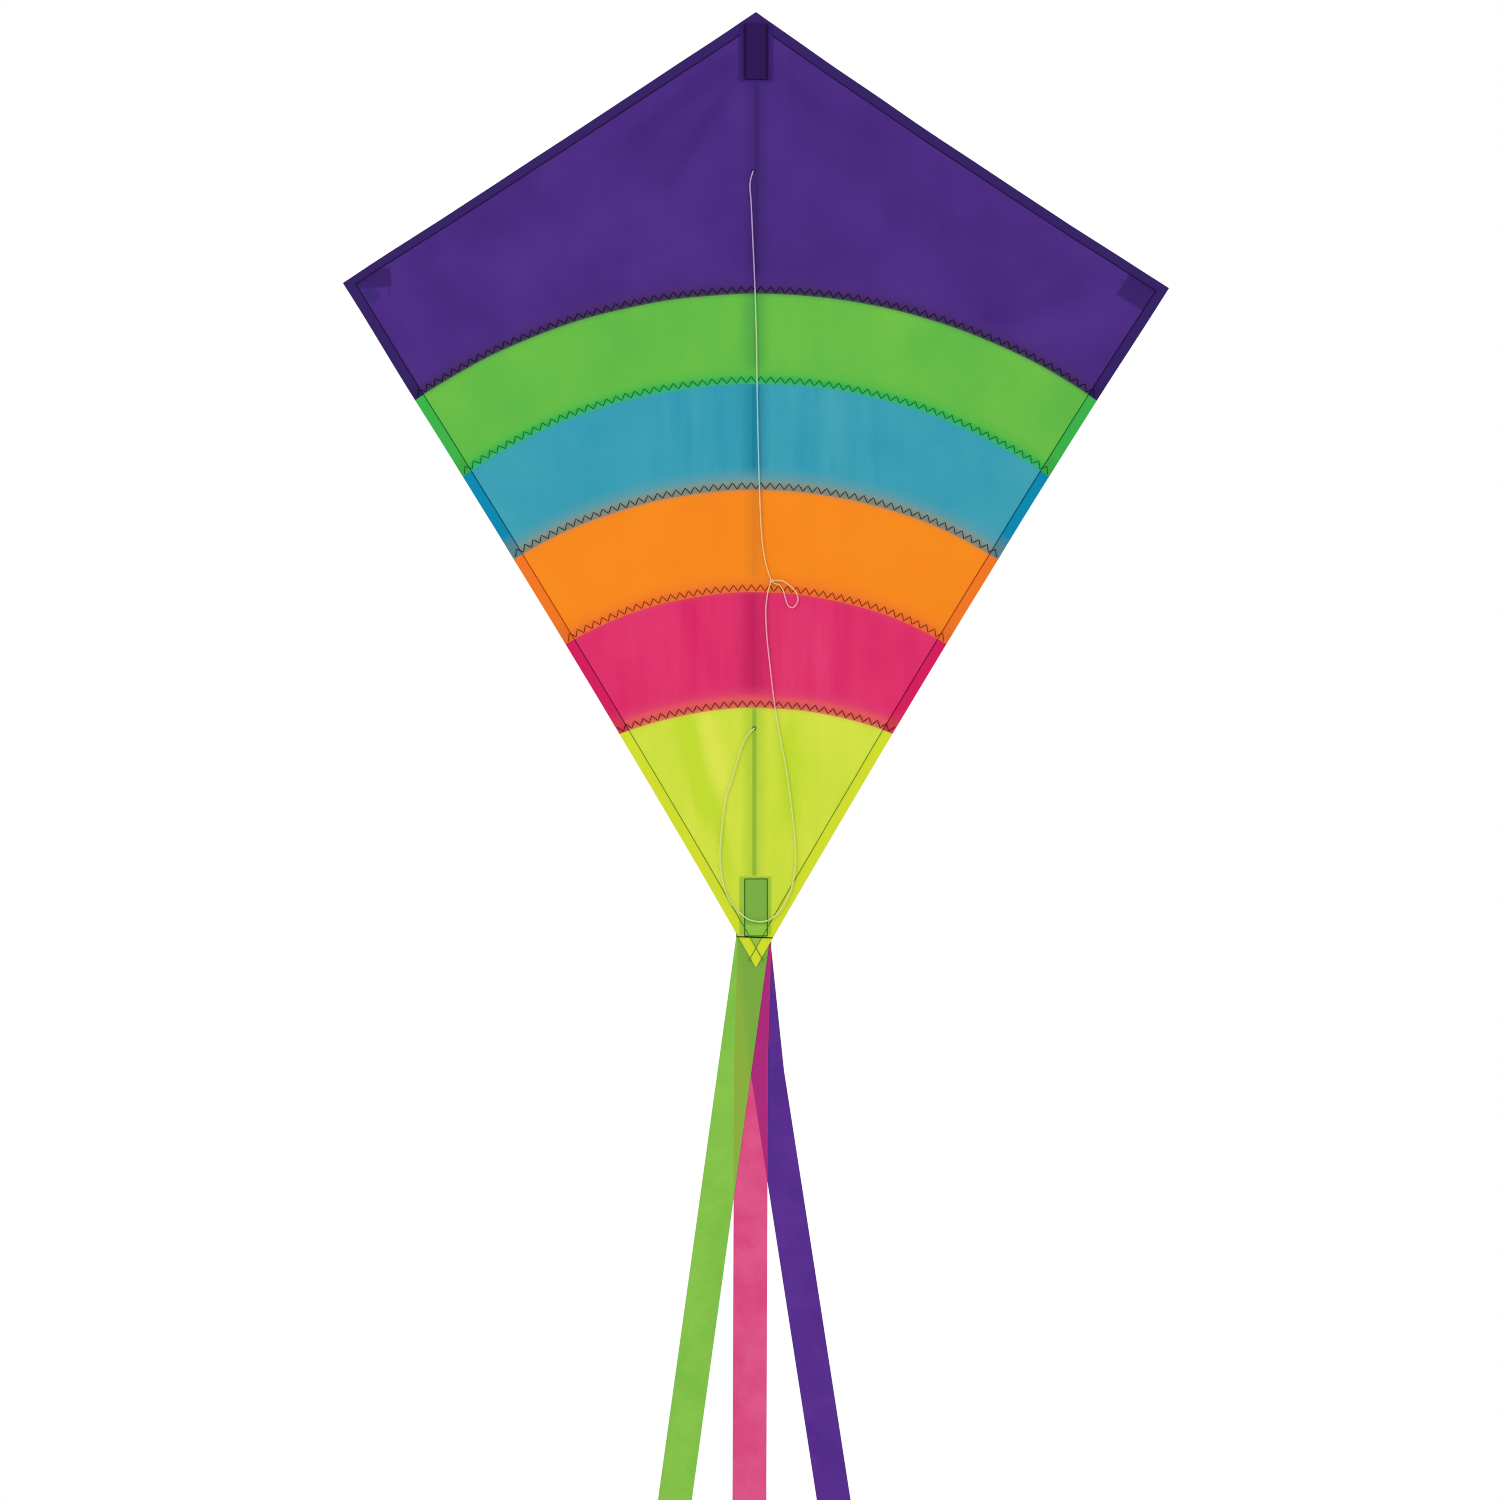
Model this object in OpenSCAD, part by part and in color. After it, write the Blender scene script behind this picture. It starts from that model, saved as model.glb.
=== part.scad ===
// Diamond kite: six-panel sail, spine and spar, two-leg bridle, three ribbon tails.
// Upright, front towards -Y, nose towards +Z. The origin is the middle of the cross
// fitting's flat back face, at the height of the spar. Millimetres.

/* [Sail] */
// Width across the wing tips
sail_w = 762; // [700:1:820]
// Nose above the spar
nose_h = 253; // [240:1:270]
// Tail point below the spar
tip_d = 628; // [610:1:660]
// Hollow of each trailing edge
hollow = 4.5; // [2:0.5:8]
// Folded hem all round
hem_w = 10; // [8:1:12]
// Seam allowance behind each seam
allow_w = 10; // [8:1:12]
// Height of each seam at the spine
seam_apex = [-7, -90, -188, -282, -389];
// Radius of each seam
seam_r = [553, 470, 424, 347, 346];

/* [Cloth and thread] */
// Thickness of one cloth layer
cloth = 0.3; // [0.2:0.05:0.4]
// Half a zigzag stitch along the seam
stitch_step = 4.35; // [3.5:0.05:6]
// Height of the zigzag
stitch_h = 5.5; // [4:0.5:6]
// Thread width as drawn
thread_w = 0.8; // [0.5:0.1:1]

/* [Rods] */
// Diameter of the spine
spine_d = 4.5; // [4:0.1:4.6]
// Diameter of the spar
spar_d = 4; // [3.5:0.1:4.5]
// Upper end of the spine
spine_top = 235; // [225:1:238]
// Lower end of the spine
spine_low = -592; // [-596:1:-580]
// Outer end of each spar half
spar_end = 369; // [360:1:369]
// Length of an end cap
cap_l = 14; // [10:1:18]

/* [Cross fitting] */
// Length of the sleeve on the spine
sleeve_l = 40; // [30:1:50]
// Length across both spar sockets
socket_l = 56; // [44:1:64]
// Width of the flat back
back_w = 24; // [18:1:30]
// Height of the flat back
back_h = 30; // [24:1:36]

/* [Pockets] */
// Width of the nose and tail pockets
pocket_w = 30; // [28:1:32]
// Lower edge of the nose pocket
nose_pocket_low = 189; // [180:1:200]
// Upper edge of the tail pocket
tail_pocket_top = -544; // [-550:1:-535]
// Inner end of each wing pocket
wing_pocket_in = 336; // [325:1:345]

/* [Bridle] */
// Diameter of the bridle cord
cord_d = 1.6; // [1:0.1:2]
// Upper hole in the sail, across and up
hole_up = [-2.5, 106.5];
// Lower hole in the sail, across and up
hole_low = [-1.5, -407.5];
// Diameter of both holes
hole_d = 3; // [2.5:0.1:4]

/* [Tails] */
// Width of each ribbon
ribbon_w = 30; // [25:1:32]
// Height of the seam that holds the ribbons
tail_seam = -600; // [-604:1:-598]
// Height at which the ribbons part and swing on their own
tail_part = -870; // [-900:1:-850]
// Lower end of the ribbons
tail_end = -1600; // [-2000:10:-1200]

/* [Hidden] */

// Depths: each layer lies behind the one before it
sail_y = -8.3;                       // front of the sail
seam_gap = 0.02;                     // air between layers that touch
allow_y = sail_y + cloth + seam_gap; // front of the seam allowance
hem_y = allow_y + cloth + seam_gap;  // front of the folded hem
pocket_y = hem_y + cloth + seam_gap; // front of the pockets
rod_y = -4;                          // middle of the rods
thread_t = 0.15;                     // thread standing proud of the front
over_y = sail_y - thread_t - seam_gap; // back of a thread that crosses over another
cord_y = -10.6;                      // middle of the bridle cord
green_y = -7.2;                      // front of each ribbon
pink_y = -6.7;
purple_y = -6.2;

half_w = sail_w / 2;
lead_len = norm([half_w, nose_h]);
trail_len = norm([half_w, tip_d]);
trail_in = [-tip_d, half_w] / trail_len; // unit vector into the sail from its right trailing edge
fold_w = 0.5;                            // wall at the fold of the hem
step_w = 0.6;                            // wall at the step of a seam
hem_stitch = hem_w - 0.6;                // hem thread from the edge
cap_wall = 0.75;
cap_r = spine_d / 2 + cap_wall;
fit_gap = 0.04;                          // rod in its socket
sleeve_r = 3.6;
septum = 4.2;                            // from the middle to the bottom of each spar socket
knot = [14.4, -271.7];
knot_r = 2.2;
wing_pocket_out = half_w - 9;
round_fn = 48;
arc_fn = 360;

// Routes of the cord, across and up, from the sail's hole or the knot
upper_route = [[-3, 105], [-5, 98], [-5.5, 90], [-4.5, 78], [-3, 45], [-1, 0], [0.5, -50],
    [1, -90], [2, -140], [3.5, -195], [5.5, -232], [8.5, -253], [13.4, -269.4]];
loop_route = [[17.1, -271.2], [24, -271.5], [29, -274.5], [33.5, -278], [37, -282.5],
    [38.7, -287.5], [37.5, -293], [33.5, -296.5], [29.5, -294], [27, -287], [25.2, -281],
    [22, -276], [17.1, -273.8]];
bight_route = [[11, -282], [9.5, -292], [9, -301], [9.5, -314], [10.5, -328], [12.5, -346],
    [14.5, -364], [16.5, -381], [19.5, -400], [23, -420], [27, -440], [31, -467], [34, -491],
    [36, -512], [36.5, -530], [34.5, -548], [29.5, -563], [22, -576], [12.5, -584], [4.5, -586]];
lower_route = [[2.5, -586], [-7.5, -583.5], [-16.5, -576], [-24, -567], [-29.5, -553],
    [-32.5, -537], [-33, -519], [-31, -495], [-28, -473], [-23.5, -458], [-18.5, -442],
    [-13.5, -425], [-8, -414], [-2.8, -408.8]];

// Middle lines of the ribbons, across and up
green_lean = 0.14;
pink_lean = 0.007;
purple_lean = 0.155;
tail_gap = 1;                       // air at each end of a ribbon's length
purple_kink = [11.5, -735];
green_top = [-2, tail_seam];
pink_top = [-3, tail_seam];
purple_top = [-1.5, tail_seam];

// Corners and edge of the sail, moved in by d. The trailing edges are shallow curves.
edge_steps = [0.08:0.07:0.93];
function nose_at(d) = [0, nose_h - d * lead_len / half_w];
function point_at(d) = [0, -tip_d + d * trail_len / half_w];
function wing_at(d) = let (x = half_w - d * (lead_len + trail_len) / (nose_h + tip_d))
    [x, (half_w * nose_h - d * lead_len - nose_h * x) / half_w];
function trail_at(t, d) = [half_w * (1 - t), -tip_d * t] + (d + 4 * hollow * t * (1 - t)) * trail_in;
function trail_side(d) = [for (t = edge_steps) trail_at(t, d)];
function flip(points) = [for (i = [len(points) - 1:-1:0]) [-points[i].x, points[i].y]];
function edge_of(d) = let (side = concat([wing_at(d)], trail_side(d)))
    concat([nose_at(d)], side, [point_at(d)], flip(side));
function within(p, d) =
    nose_h * abs(p.x) + half_w * p.y < half_w * nose_h - d * lead_len &&
    tip_d * abs(p.x) - half_w * p.y < half_w * tip_d - (d + hollow) * trail_len;

// A strip of width w along points
function side_at(p, i, h) = let (a = p[max(i - 1, 0)], b = p[min(i + 1, len(p) - 1)],
    d = (b - a) / norm(b - a)) p[i] + h * [-d.y, d.x];
module strip(points, w) {
    n = len(points) - 1;
    polygon(concat([for (i = [0:n]) side_at(points, i, w / 2)],
        [for (i = [n:-1:0]) side_at(points, i, -w / 2)]));
}

// A flat shape drawn across and up, from front y0 to back y1
module layer(y0, y1) {
    translate([0, y1, 0]) rotate([90, 0, 0]) linear_extrude(height = y1 - y0) children();
}

module edge_shape(d) polygon(edge_of(d));

module edge_band(d0, d1) difference() {
    edge_shape(d0);
    edge_shape(d1);
}

// The sail below seam i, grown upwards by g
module below_seam(i, g = 0) {
    translate([0, seam_apex[i] - seam_r[i]]) circle(r = seam_r[i] + g, $fn = arc_fn);
}

// What panel i covers: below seam i - 1 and above seam i
module panel_area(i) difference() {
    intersection() {
        children();
        if (i > 0) below_seam(i - 1); else edge_shape(0);
    }
    if (i < len(seam_apex)) below_seam(i);
}

module seam_band(i, g0, g1) difference() {
    below_seam(i, g1);
    below_seam(i, g0);
}

module panel(i, tint) color(tint) {
    layer(sail_y, sail_y + cloth) panel_area(i) edge_shape(0);
    layer(sail_y, hem_y + cloth) panel_area(i) edge_band(0, fold_w);
    layer(hem_y, hem_y + cloth) panel_area(i) edge_band(0, hem_w);
    if (i > 0) {
        layer(sail_y, allow_y + cloth) intersection() {
            edge_shape(0);
            seam_band(i - 1, -step_w, 0);
        }
        layer(allow_y, allow_y + cloth) intersection() {
            edge_shape(fold_w + 0.4);
            seam_band(i - 1, -step_w, allow_w);
        }
    }
}

module bridle_hole(at) {
    translate([at.x, 0, at.y]) rotate([90, 0, 0]) cylinder(d = hole_d, h = 20, $fn = round_fn);
}

module sail_purple() difference() {
    panel(0, "#4C2B82");
    color("#4C2B82") bridle_hole(hole_up);
}
module sail_green() panel(1, "#69BE45");
module sail_blue() panel(2, "#3B9FB6");
module sail_orange() panel(3, "#F68A1E");
module sail_pink() panel(4, "#E0376F");
module sail_lime() difference() {
    panel(5, "#CADB35");
    color("#CADB35") bridle_hole(hole_low);
}

// Zigzag thread in the middle of the overlap above seam i
module seam_thread(i) {
    mid_r = seam_r[i] + allow_w / 2;
    turn = stitch_step / mid_r * 180 / PI;
    zig = [for (k = [-90:90]) let (a = k * turn, r = mid_r + stitch_h / 2 * (k % 2 == 0 ? 1 : -1),
        p = [r * sin(a), seam_apex[i] - seam_r[i] + r * cos(a)])
        if (within(p, hem_w + 2)) [a, r]];
    // The width is measured along the radius, so it's larger than the thread's own
    along = thread_w / 2 * norm([stitch_step, stitch_h]) / stitch_step;
    rim = concat([for (z = zig) [z[0], z[1] + along]],
        [for (k = [len(zig) - 1:-1:0]) [zig[k][0], zig[k][1] - along]]);
    color("#16141C") layer(sail_y - thread_t, sail_y)
        polygon([for (z = rim) [z[1] * sin(z[0]), seam_apex[i] - seam_r[i] + z[1] * cos(z[0])]]);
}
module seam_thread_purple() seam_thread(0);
module seam_thread_green() seam_thread(1);
module seam_thread_blue() seam_thread(2);
module seam_thread_orange() seam_thread(3);
module seam_thread_pink() seam_thread(4);

// Straight threads along the hem, each stopping short of the corners
stop = 3;
function short_of(a, b) = a + stop * (b - a) / norm(b - a);
module upper_hem_thread() {
    a = nose_at(hem_stitch);
    b = wing_at(hem_stitch);
    color("#16141C") layer(sail_y - thread_t, sail_y)
        strip([short_of(a, b), short_of(b, a)], thread_w);
}
module lower_hem_thread() {
    side = trail_side(hem_stitch);
    a = wing_at(hem_stitch);
    b = point_at(hem_stitch);
    color("#16141C") layer(sail_y - thread_t, sail_y)
        strip(concat([short_of(a, side[0])], side, [short_of(b, side[len(side) - 1])]), thread_w);
}
module hem_thread_upper_right() upper_hem_thread();
module hem_thread_upper_left() mirror([1, 0, 0]) upper_hem_thread();
module hem_thread_lower_right() lower_hem_thread();
module hem_thread_lower_left() mirror([1, 0, 0]) lower_hem_thread();

// Cross-section of a pocket: flat where it is sewn, raised over the rod
module pocket_end(w0, w1) polygon([[-w0, pocket_y], [w1, pocket_y], [w1, pocket_y + cloth],
    [5.6, -6.5], [3.9, -3.4], [2.4, -1.2], [0.9, -0.5], [-0.9, -0.5], [-2.4, -1.2], [-3.9, -3.4],
    [-5.6, -6.5], [-w0, pocket_y + cloth]]);
module pocket_section(w0, w1) difference() {
    pocket_end(w0, w1);
    translate([0, rod_y]) circle(r = cap_r + fit_gap, $fn = round_fn);
}
end_wall = 1.5;

module nose_pocket() color("#2A154D") {
    low = nose_pocket_low;
    inner = spine_top + 2;
    translate([0, 0, low])
        linear_extrude(height = inner - low) pocket_section(pocket_w / 2, pocket_w / 2);
    translate([0, 0, inner])
        linear_extrude(height = end_wall) pocket_end(pocket_w / 2, pocket_w / 2);
}
module tail_pocket() color("#6FB23E") {
    top = tail_pocket_top;
    inner = spine_low - 2;
    translate([0, 0, inner])
        linear_extrude(height = top - inner) pocket_section(pocket_w / 2, pocket_w / 2);
    translate([0, 0, inner - end_wall])
        linear_extrude(height = end_wall) pocket_end(pocket_w / 2, pocket_w / 2);
}
module wing_pocket() color("#1B1722") {
    low = 14;
    high = 13;
    inner = spar_end + 1.6;
    intersection() {
        union() {
            translate([wing_pocket_in, 0, 0]) rotate([90, 0, 90])
                linear_extrude(height = inner - wing_pocket_in)
                    mirror([1, -1]) pocket_section(low, high);
            translate([inner, 0, 0]) rotate([90, 0, 90])
                linear_extrude(height = wing_pocket_out - inner)
                    mirror([1, -1]) pocket_end(low, high);
        }
        layer(-9, 0) polygon([[wing_pocket_in, -low], [wing_pocket_out - 3, -low],
            [wing_pocket_out, -low + 4], [wing_pocket_out, 5.5], [wing_pocket_out - 11, high],
            [wing_pocket_in, high]]);
    }
}
module wing_pocket_right() wing_pocket();
module wing_pocket_left() mirror([1, 0, 0]) wing_pocket();

// Box of stitching that holds a pocket
module stitch_box(x0, x1, z0, z1) color("#16141C") layer(over_y - thread_t, over_y) difference() {
    translate([x0, z0]) square([x1 - x0, z1 - z0]);
    translate([x0 + thread_w, z0 + thread_w])
        square([x1 - x0 - 2 * thread_w, z1 - z0 - 2 * thread_w]);
}
module nose_pocket_thread() stitch_box(-10.2, 10.2, nose_pocket_low + 2, spine_top);
module tail_pocket_thread() stitch_box(-10.5, 10.5, tail_seam + 2, tail_pocket_top - 2);
module wing_thread() color("#16141C") layer(sail_y - thread_t, sail_y)
    translate([wing_pocket_in + 2, -12]) square([thread_w, 23]);
module wing_pocket_thread_right() wing_thread();
module wing_pocket_thread_left() mirror([1, 0, 0]) wing_thread();
module tail_thread() color("#16141C") layer(over_y - thread_t, over_y)
    translate([-16, tail_seam - thread_w]) square([32, thread_w]);

module rod(d, from, to) translate([0, rod_y, from]) cylinder(d = d, h = to - from, $fn = round_fn);

// Cap pushed on a rod's upper end, with its mouth at low
module cap(rod_d, rod_end) difference() {
    translate([0, rod_y, rod_end - cap_l + cap_wall * 2])
        cylinder(r = cap_r, h = cap_l, $fn = round_fn);
    translate([0, rod_y, rod_end - cap_l])
        cylinder(d = rod_d + fit_gap, h = cap_l, $fn = round_fn);
}
module spine() color("#1D1F22") rod(spine_d, spine_low, spine_top);
module spine_cap_top() color("#2A2A2E") cap(spine_d, spine_top);
module spine_cap_low() color("#2A2A2E") mirror([0, 0, 1]) cap(spine_d, -spine_low);

module spar_half() rotate([0, 90, 0]) rod(spar_d, septum, spar_end);
module spar_right() color("#1D1F22") spar_half();
module spar_left() color("#1D1F22") mirror([1, 0, 0]) spar_half();
module spar_cap_right() color("#2A2A2E") rotate([0, 90, 0]) cap(spar_d, spar_end);
module spar_cap_left() color("#2A2A2E") mirror([1, 0, 0]) rotate([0, 90, 0]) cap(spar_d, spar_end);

module back_plate(w, h, r) {
    square([w - 2 * r, h], center = true);
    square([w, h - 2 * r], center = true);
    for (x = [-1, 1], z = [-1, 1])
        translate([x * (w / 2 - r), z * (h / 2 - r)]) circle(r = r, $fn = round_fn);
}
module cross_fitting() color("#202226") difference() {
    union() {
        translate([0, rod_y, -sleeve_l / 2]) cylinder(r = sleeve_r, h = sleeve_l, $fn = round_fn);
        translate([-socket_l / 2, rod_y, 0]) rotate([0, 90, 0])
            cylinder(r = sleeve_r, h = socket_l, $fn = round_fn);
        layer(rod_y, 0) back_plate(back_w, back_h, 4);
    }
    translate([0, rod_y, -sleeve_l]) cylinder(d = spine_d + fit_gap, h = 2 * sleeve_l, $fn = round_fn);
    for (side = [-1, 1])
        translate([side * septum, rod_y, 0]) rotate([0, side * 90, 0])
            cylinder(d = spar_d + fit_gap, h = socket_l, $fn = round_fn);
}

// Turn of cord round the spine, and the end that comes out through the sail
module anchor(at) color("#EFEFEA") {
    translate([0, rod_y, at.y]) rotate_extrude($fn = round_fn)
        translate([spine_d / 2 + cord_d / 2 + fit_gap, 0]) circle(d = cord_d, $fn = 24);
    translate([at.x, -7.2, at.y]) rotate([90, 0, 0])
        cylinder(d = cord_d, h = -7.2 - cord_y, $fn = 24);
}
module bridle_anchor_upper() anchor(hole_up);
module bridle_anchor_lower() anchor(hole_low);

// Tube of eight sides swept along a route that lies flat in front of the sail
cord_sides = 8;
function route_turn(p, i) = let (a = p[max(i - 1, 0)], b = p[min(i + 1, len(p) - 1)])
    (b - a) / norm(b - a);
function cord_ring(p, i) = let (t = route_turn(p, i))
    [for (k = [0:cord_sides - 1]) let (a = 360 * k / cord_sides, s = cord_d / 2 * cos(a))
        [p[i].x - s * t.y, cord_y + cord_d / 2 * sin(a), p[i].y + s * t.x]];
module cord_tube(p) color("#F2F2EE") {
    n = len(p);
    rings = [for (i = [0:n - 1]) each cord_ring(p, i)];
    walls = [for (i = [0:n - 2], k = [0:cord_sides - 1]) let (j = (k + 1) % cord_sides)
        [i * cord_sides + k, i * cord_sides + j, (i + 1) * cord_sides + j, (i + 1) * cord_sides + k]];
    ends = [[for (k = [cord_sides - 1:-1:0]) k], [for (k = [0:cord_sides - 1]) (n - 1) * cord_sides + k]];
    polyhedron(points = rings, faces = concat(walls, ends));
}
module bridle_upper_leg() cord_tube(upper_route);
module tow_loop() cord_tube(loop_route);
module bridle_bight() cord_tube(bight_route);
module bridle_lower_leg() cord_tube(lower_route);
module tow_knot() color("#F2F2EE") translate([knot.x, cord_y, knot.y]) sphere(r = knot_r, $fn = 32);

// Ribbons: a stretch shared by all three down to where they part, then one length each
function lean_at(top, lean, z) = [top.x - lean * (z - top.y), z];
module ribbon(points, y, tint) color(tint) layer(y, y + cloth) strip(points, ribbon_w);
module ribbon_top(points, y, tint) color(tint) layer(y, y + cloth) intersection() {
    strip(points, ribbon_w);
    translate([-100, tail_part - 100]) square([200, tail_seam - tail_gap - tail_part + 100]);
}
module green_tail_upper() ribbon_top([lean_at(green_top, -green_lean, tail_seam + 20),
    lean_at(green_top, -green_lean, tail_part + tail_gap)], green_y, "#88C44D");
module green_tail() ribbon([lean_at(green_top, -green_lean, tail_part - tail_gap),
    lean_at(green_top, -green_lean, tail_end)], green_y, "#88C44D");
module pink_tail_upper() ribbon_top([lean_at(pink_top, -pink_lean, tail_seam + 20),
    lean_at(pink_top, -pink_lean, tail_part + tail_gap)], pink_y, "#DE4F85");
module pink_tail() ribbon([lean_at(pink_top, -pink_lean, tail_part - tail_gap),
    lean_at(pink_top, -pink_lean, tail_end)], pink_y, "#DE4F85");
module purple_tail_upper() ribbon_top([purple_top + (purple_top - purple_kink) / 6, purple_kink,
    lean_at(purple_kink, purple_lean, tail_part + tail_gap)], purple_y, "#582E8F");
module purple_tail() ribbon([lean_at(purple_kink, purple_lean, tail_part - tail_gap),
    lean_at(purple_kink, purple_lean, tail_end)], purple_y, "#582E8F");

sail_purple();
sail_green();
sail_blue();
sail_orange();
sail_pink();
sail_lime();
seam_thread_purple();
seam_thread_green();
seam_thread_blue();
seam_thread_orange();
seam_thread_pink();
hem_thread_upper_left();
hem_thread_upper_right();
hem_thread_lower_left();
hem_thread_lower_right();
nose_pocket();
tail_pocket();
wing_pocket_left();
wing_pocket_right();
nose_pocket_thread();
tail_pocket_thread();
wing_pocket_thread_left();
wing_pocket_thread_right();
tail_thread();
spine();
spine_cap_top();
spine_cap_low();
spar_left();
spar_right();
spar_cap_left();
spar_cap_right();
cross_fitting();
bridle_anchor_upper();
bridle_anchor_lower();
bridle_upper_leg();
tow_knot();
tow_loop();
bridle_lower_leg();
bridle_bight();
green_tail_upper();
pink_tail_upper();
purple_tail_upper();
green_tail();
pink_tail();
purple_tail();
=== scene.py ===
import math

import bmesh
import bpy
from mathutils import Matrix, Vector, noise


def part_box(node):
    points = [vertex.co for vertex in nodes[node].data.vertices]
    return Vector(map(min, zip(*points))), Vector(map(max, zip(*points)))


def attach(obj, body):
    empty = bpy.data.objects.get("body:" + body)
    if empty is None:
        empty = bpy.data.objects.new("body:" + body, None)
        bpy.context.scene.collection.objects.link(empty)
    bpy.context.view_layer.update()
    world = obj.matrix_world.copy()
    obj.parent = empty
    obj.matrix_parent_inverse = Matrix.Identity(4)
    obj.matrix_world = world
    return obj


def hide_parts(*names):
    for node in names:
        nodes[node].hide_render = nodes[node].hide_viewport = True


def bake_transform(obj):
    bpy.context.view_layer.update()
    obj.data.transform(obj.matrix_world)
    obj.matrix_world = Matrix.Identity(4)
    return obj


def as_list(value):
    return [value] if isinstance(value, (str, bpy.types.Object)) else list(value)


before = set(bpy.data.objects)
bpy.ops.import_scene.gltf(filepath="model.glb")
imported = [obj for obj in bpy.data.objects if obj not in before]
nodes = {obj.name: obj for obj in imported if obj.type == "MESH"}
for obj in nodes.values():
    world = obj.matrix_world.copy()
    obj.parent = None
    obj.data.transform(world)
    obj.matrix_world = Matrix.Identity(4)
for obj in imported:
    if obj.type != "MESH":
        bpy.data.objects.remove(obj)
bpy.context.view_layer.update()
mm = 0.001
print("frame loaded:", len(nodes), "nodes")

# Sail layout, from the frame and the cloth's own sizes
sail = {
    "halfWidth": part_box("sail_purple")[1].x,
    "noseZ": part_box("sail_purple")[1].z,
    "tipDrop": -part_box("sail_lime")[0].z,
    "hollow": 4.5 * mm,  # hollow of each trailing edge
    "hem": 10 * mm,
    "allowance": 10 * mm,
    "cloth": 0.22 * mm,
    "layerStep": 0.32 * mm,  # from one layer of cloth to the next
    "gridStep": 7 * mm,
}
sail["frontY"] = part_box("sail_purple")[0].y + 0.15 * mm  # middle of the front layer
seamRadius = [r * mm for r in (553, 470, 424, 347, 346)]
panelNames = ["purple", "green", "blue", "orange", "pink", "lime"]
seamTop = [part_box("sail_" + name)[1].z - sail["allowance"] for name in panelNames[1:]]
hemInset = 9.3 * mm  # from the edge to the hem's stitches
leadLength = math.hypot(sail["halfWidth"], sail["noseZ"])
trailLength = math.hypot(sail["halfWidth"], sail["tipDrop"])


# Height of a seam's arc at x, moved outwards by grow
def seamZ(seam, x, grow=0.0):
    radius = seamRadius[seam] + grow
    return seamTop[seam] - seamRadius[seam] + math.sqrt(max(0.0, radius * radius - x * x))


# How far above a seam's arc a point lies
def seamGap(seam, x, z):
    return math.hypot(x, z - seamTop[seam] + seamRadius[seam]) - seamRadius[seam]


# How far in from the sail's edge a point lies
def edgeGap(x, z):
    w, n, t = sail["halfWidth"], sail["noseZ"], sail["tipDrop"]
    lead = (w * n - n * abs(x) - w * z) / leadLength
    share = min(1.0, max(0.0, -z / t))
    trail = (w * t - t * abs(x) + w * z) / trailLength - 4 * sail["hollow"] * share * (1 - share)
    return min(lead, trail)


# How far in from the leading edge the hem is sewn: less towards the wing tips
def leadInset(x):
    share = min(1.0, abs(x) / sail["halfWidth"])
    return hemInset - share * (1.9 * mm if x < 0 else 0.8 * mm)


# Distance from the edge, stretched so that the hem is as wide as its stitches everywhere
def hemGap(x, z):
    gap = edgeGap(x, z)
    return gap * hemInset / leadInset(x) if z > 0 else gap


# How far out a row runs until it comes within inset of the edge
def rowEnd(curve, inset):
    low, high = 0.0, sail["halfWidth"] * 1.02
    if edgeGap(0.0, curve(0.0)) <= inset:
        return 0.0
    for _ in range(40):
        middle = (low + high) / 2
        if edgeGap(middle, curve(middle)) > inset:
            low = middle
        else:
            high = middle
    return low


def smooth(t):
    t = min(1.0, max(0.0, t))
    return t * t * (3 - 2 * t)


# How deep the cloth's slack between the rods, soft folds, puckers at the seams and creases are
ripple = {"slack": 1.3 * mm, "fold": 0.45 * mm, "pucker": 0.16 * mm, "crease": 0.5 * mm}

# Creases pressed into the cloth when it was folded: ends across and up in mm, width, depth; the sail's
# colour is also darkened along them as painted shade, and lightened as painted highlight where the depth is
# negative
creases = [
    (-20, 212, -120, 128, 9, 0.9), (-17, 196, -80, 96, 8, 0.8), (19, 200, 75, 150, 8, 0.5),
    (-300, 0, -215, -52, 12, 0.5), (290, -4, 200, -40, 12, 0.5), (-70, -92, -58, -178, 9, 0.5),
    (62, -96, 88, -180, 11, -0.5), (30, -100, 36, -180, 7, 0.4), (-60, -200, -85, -275, 12, 0.35),
    (-62, -292, -30, -380, 9, 0.6), (45, -290, 70, -372, 10, -0.45), (-66, -398, -44, -500, 8, 0.9),
    (-45, -396, -30, -470, 7, -0.7), (34, -395, 30, -500, 8, 0.5), (-38, -470, -22, -560, 6, 0.6),
]
# How far the wings really stand from level, and how far the leading edges curve in, left and right
wings = {-1: (3.2 * mm, 3.0 * mm), 1: (-1.4 * mm, 14 * mm)}


# -1 to 1: how far into a crease a point lies
def creaseTone(x, z):
    total = 0.0
    for x0, z0, x1, z1, width, depth in creases:
        ax, az, bx, bz = x0 * mm, z0 * mm, x1 * mm, z1 * mm
        long = (bx - ax) ** 2 + (bz - az) ** 2
        share = ((x - ax) * (bx - ax) + (z - az) * (bz - az)) / long
        off = ((x - ax) * (bz - az) - (z - az) * (bx - ax)) / math.sqrt(long)
        if -0.2 < share < 1.2 and abs(off) < 3 * width * mm:
            fade = smooth((share + 0.2) / 0.35) * smooth((1.2 - share) / 0.6)
            total += depth * fade * math.exp(-((off / (width * mm)) ** 2))
    return total


# How far up a point of the sail really lies, above its even place
def sailShift(x, z):
    hand = 0.6 * mm * noise.noise(Vector((x * 21.0, 5.7, z * 9.0)))  # seams sewn by hand
    low, high = seamZ(0, x), sail["noseZ"] * (1 - abs(x) / sail["halfWidth"])
    if z <= low:
        return hand
    lift, hollow = wings[1 if x > 0 else -1]
    u = min(1.0, abs(x) / sail["halfWidth"])
    return hand + (lift * u - hollow * u * (1 - u)) * smooth((z - low) / max(high - low, 20 * mm))


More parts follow.
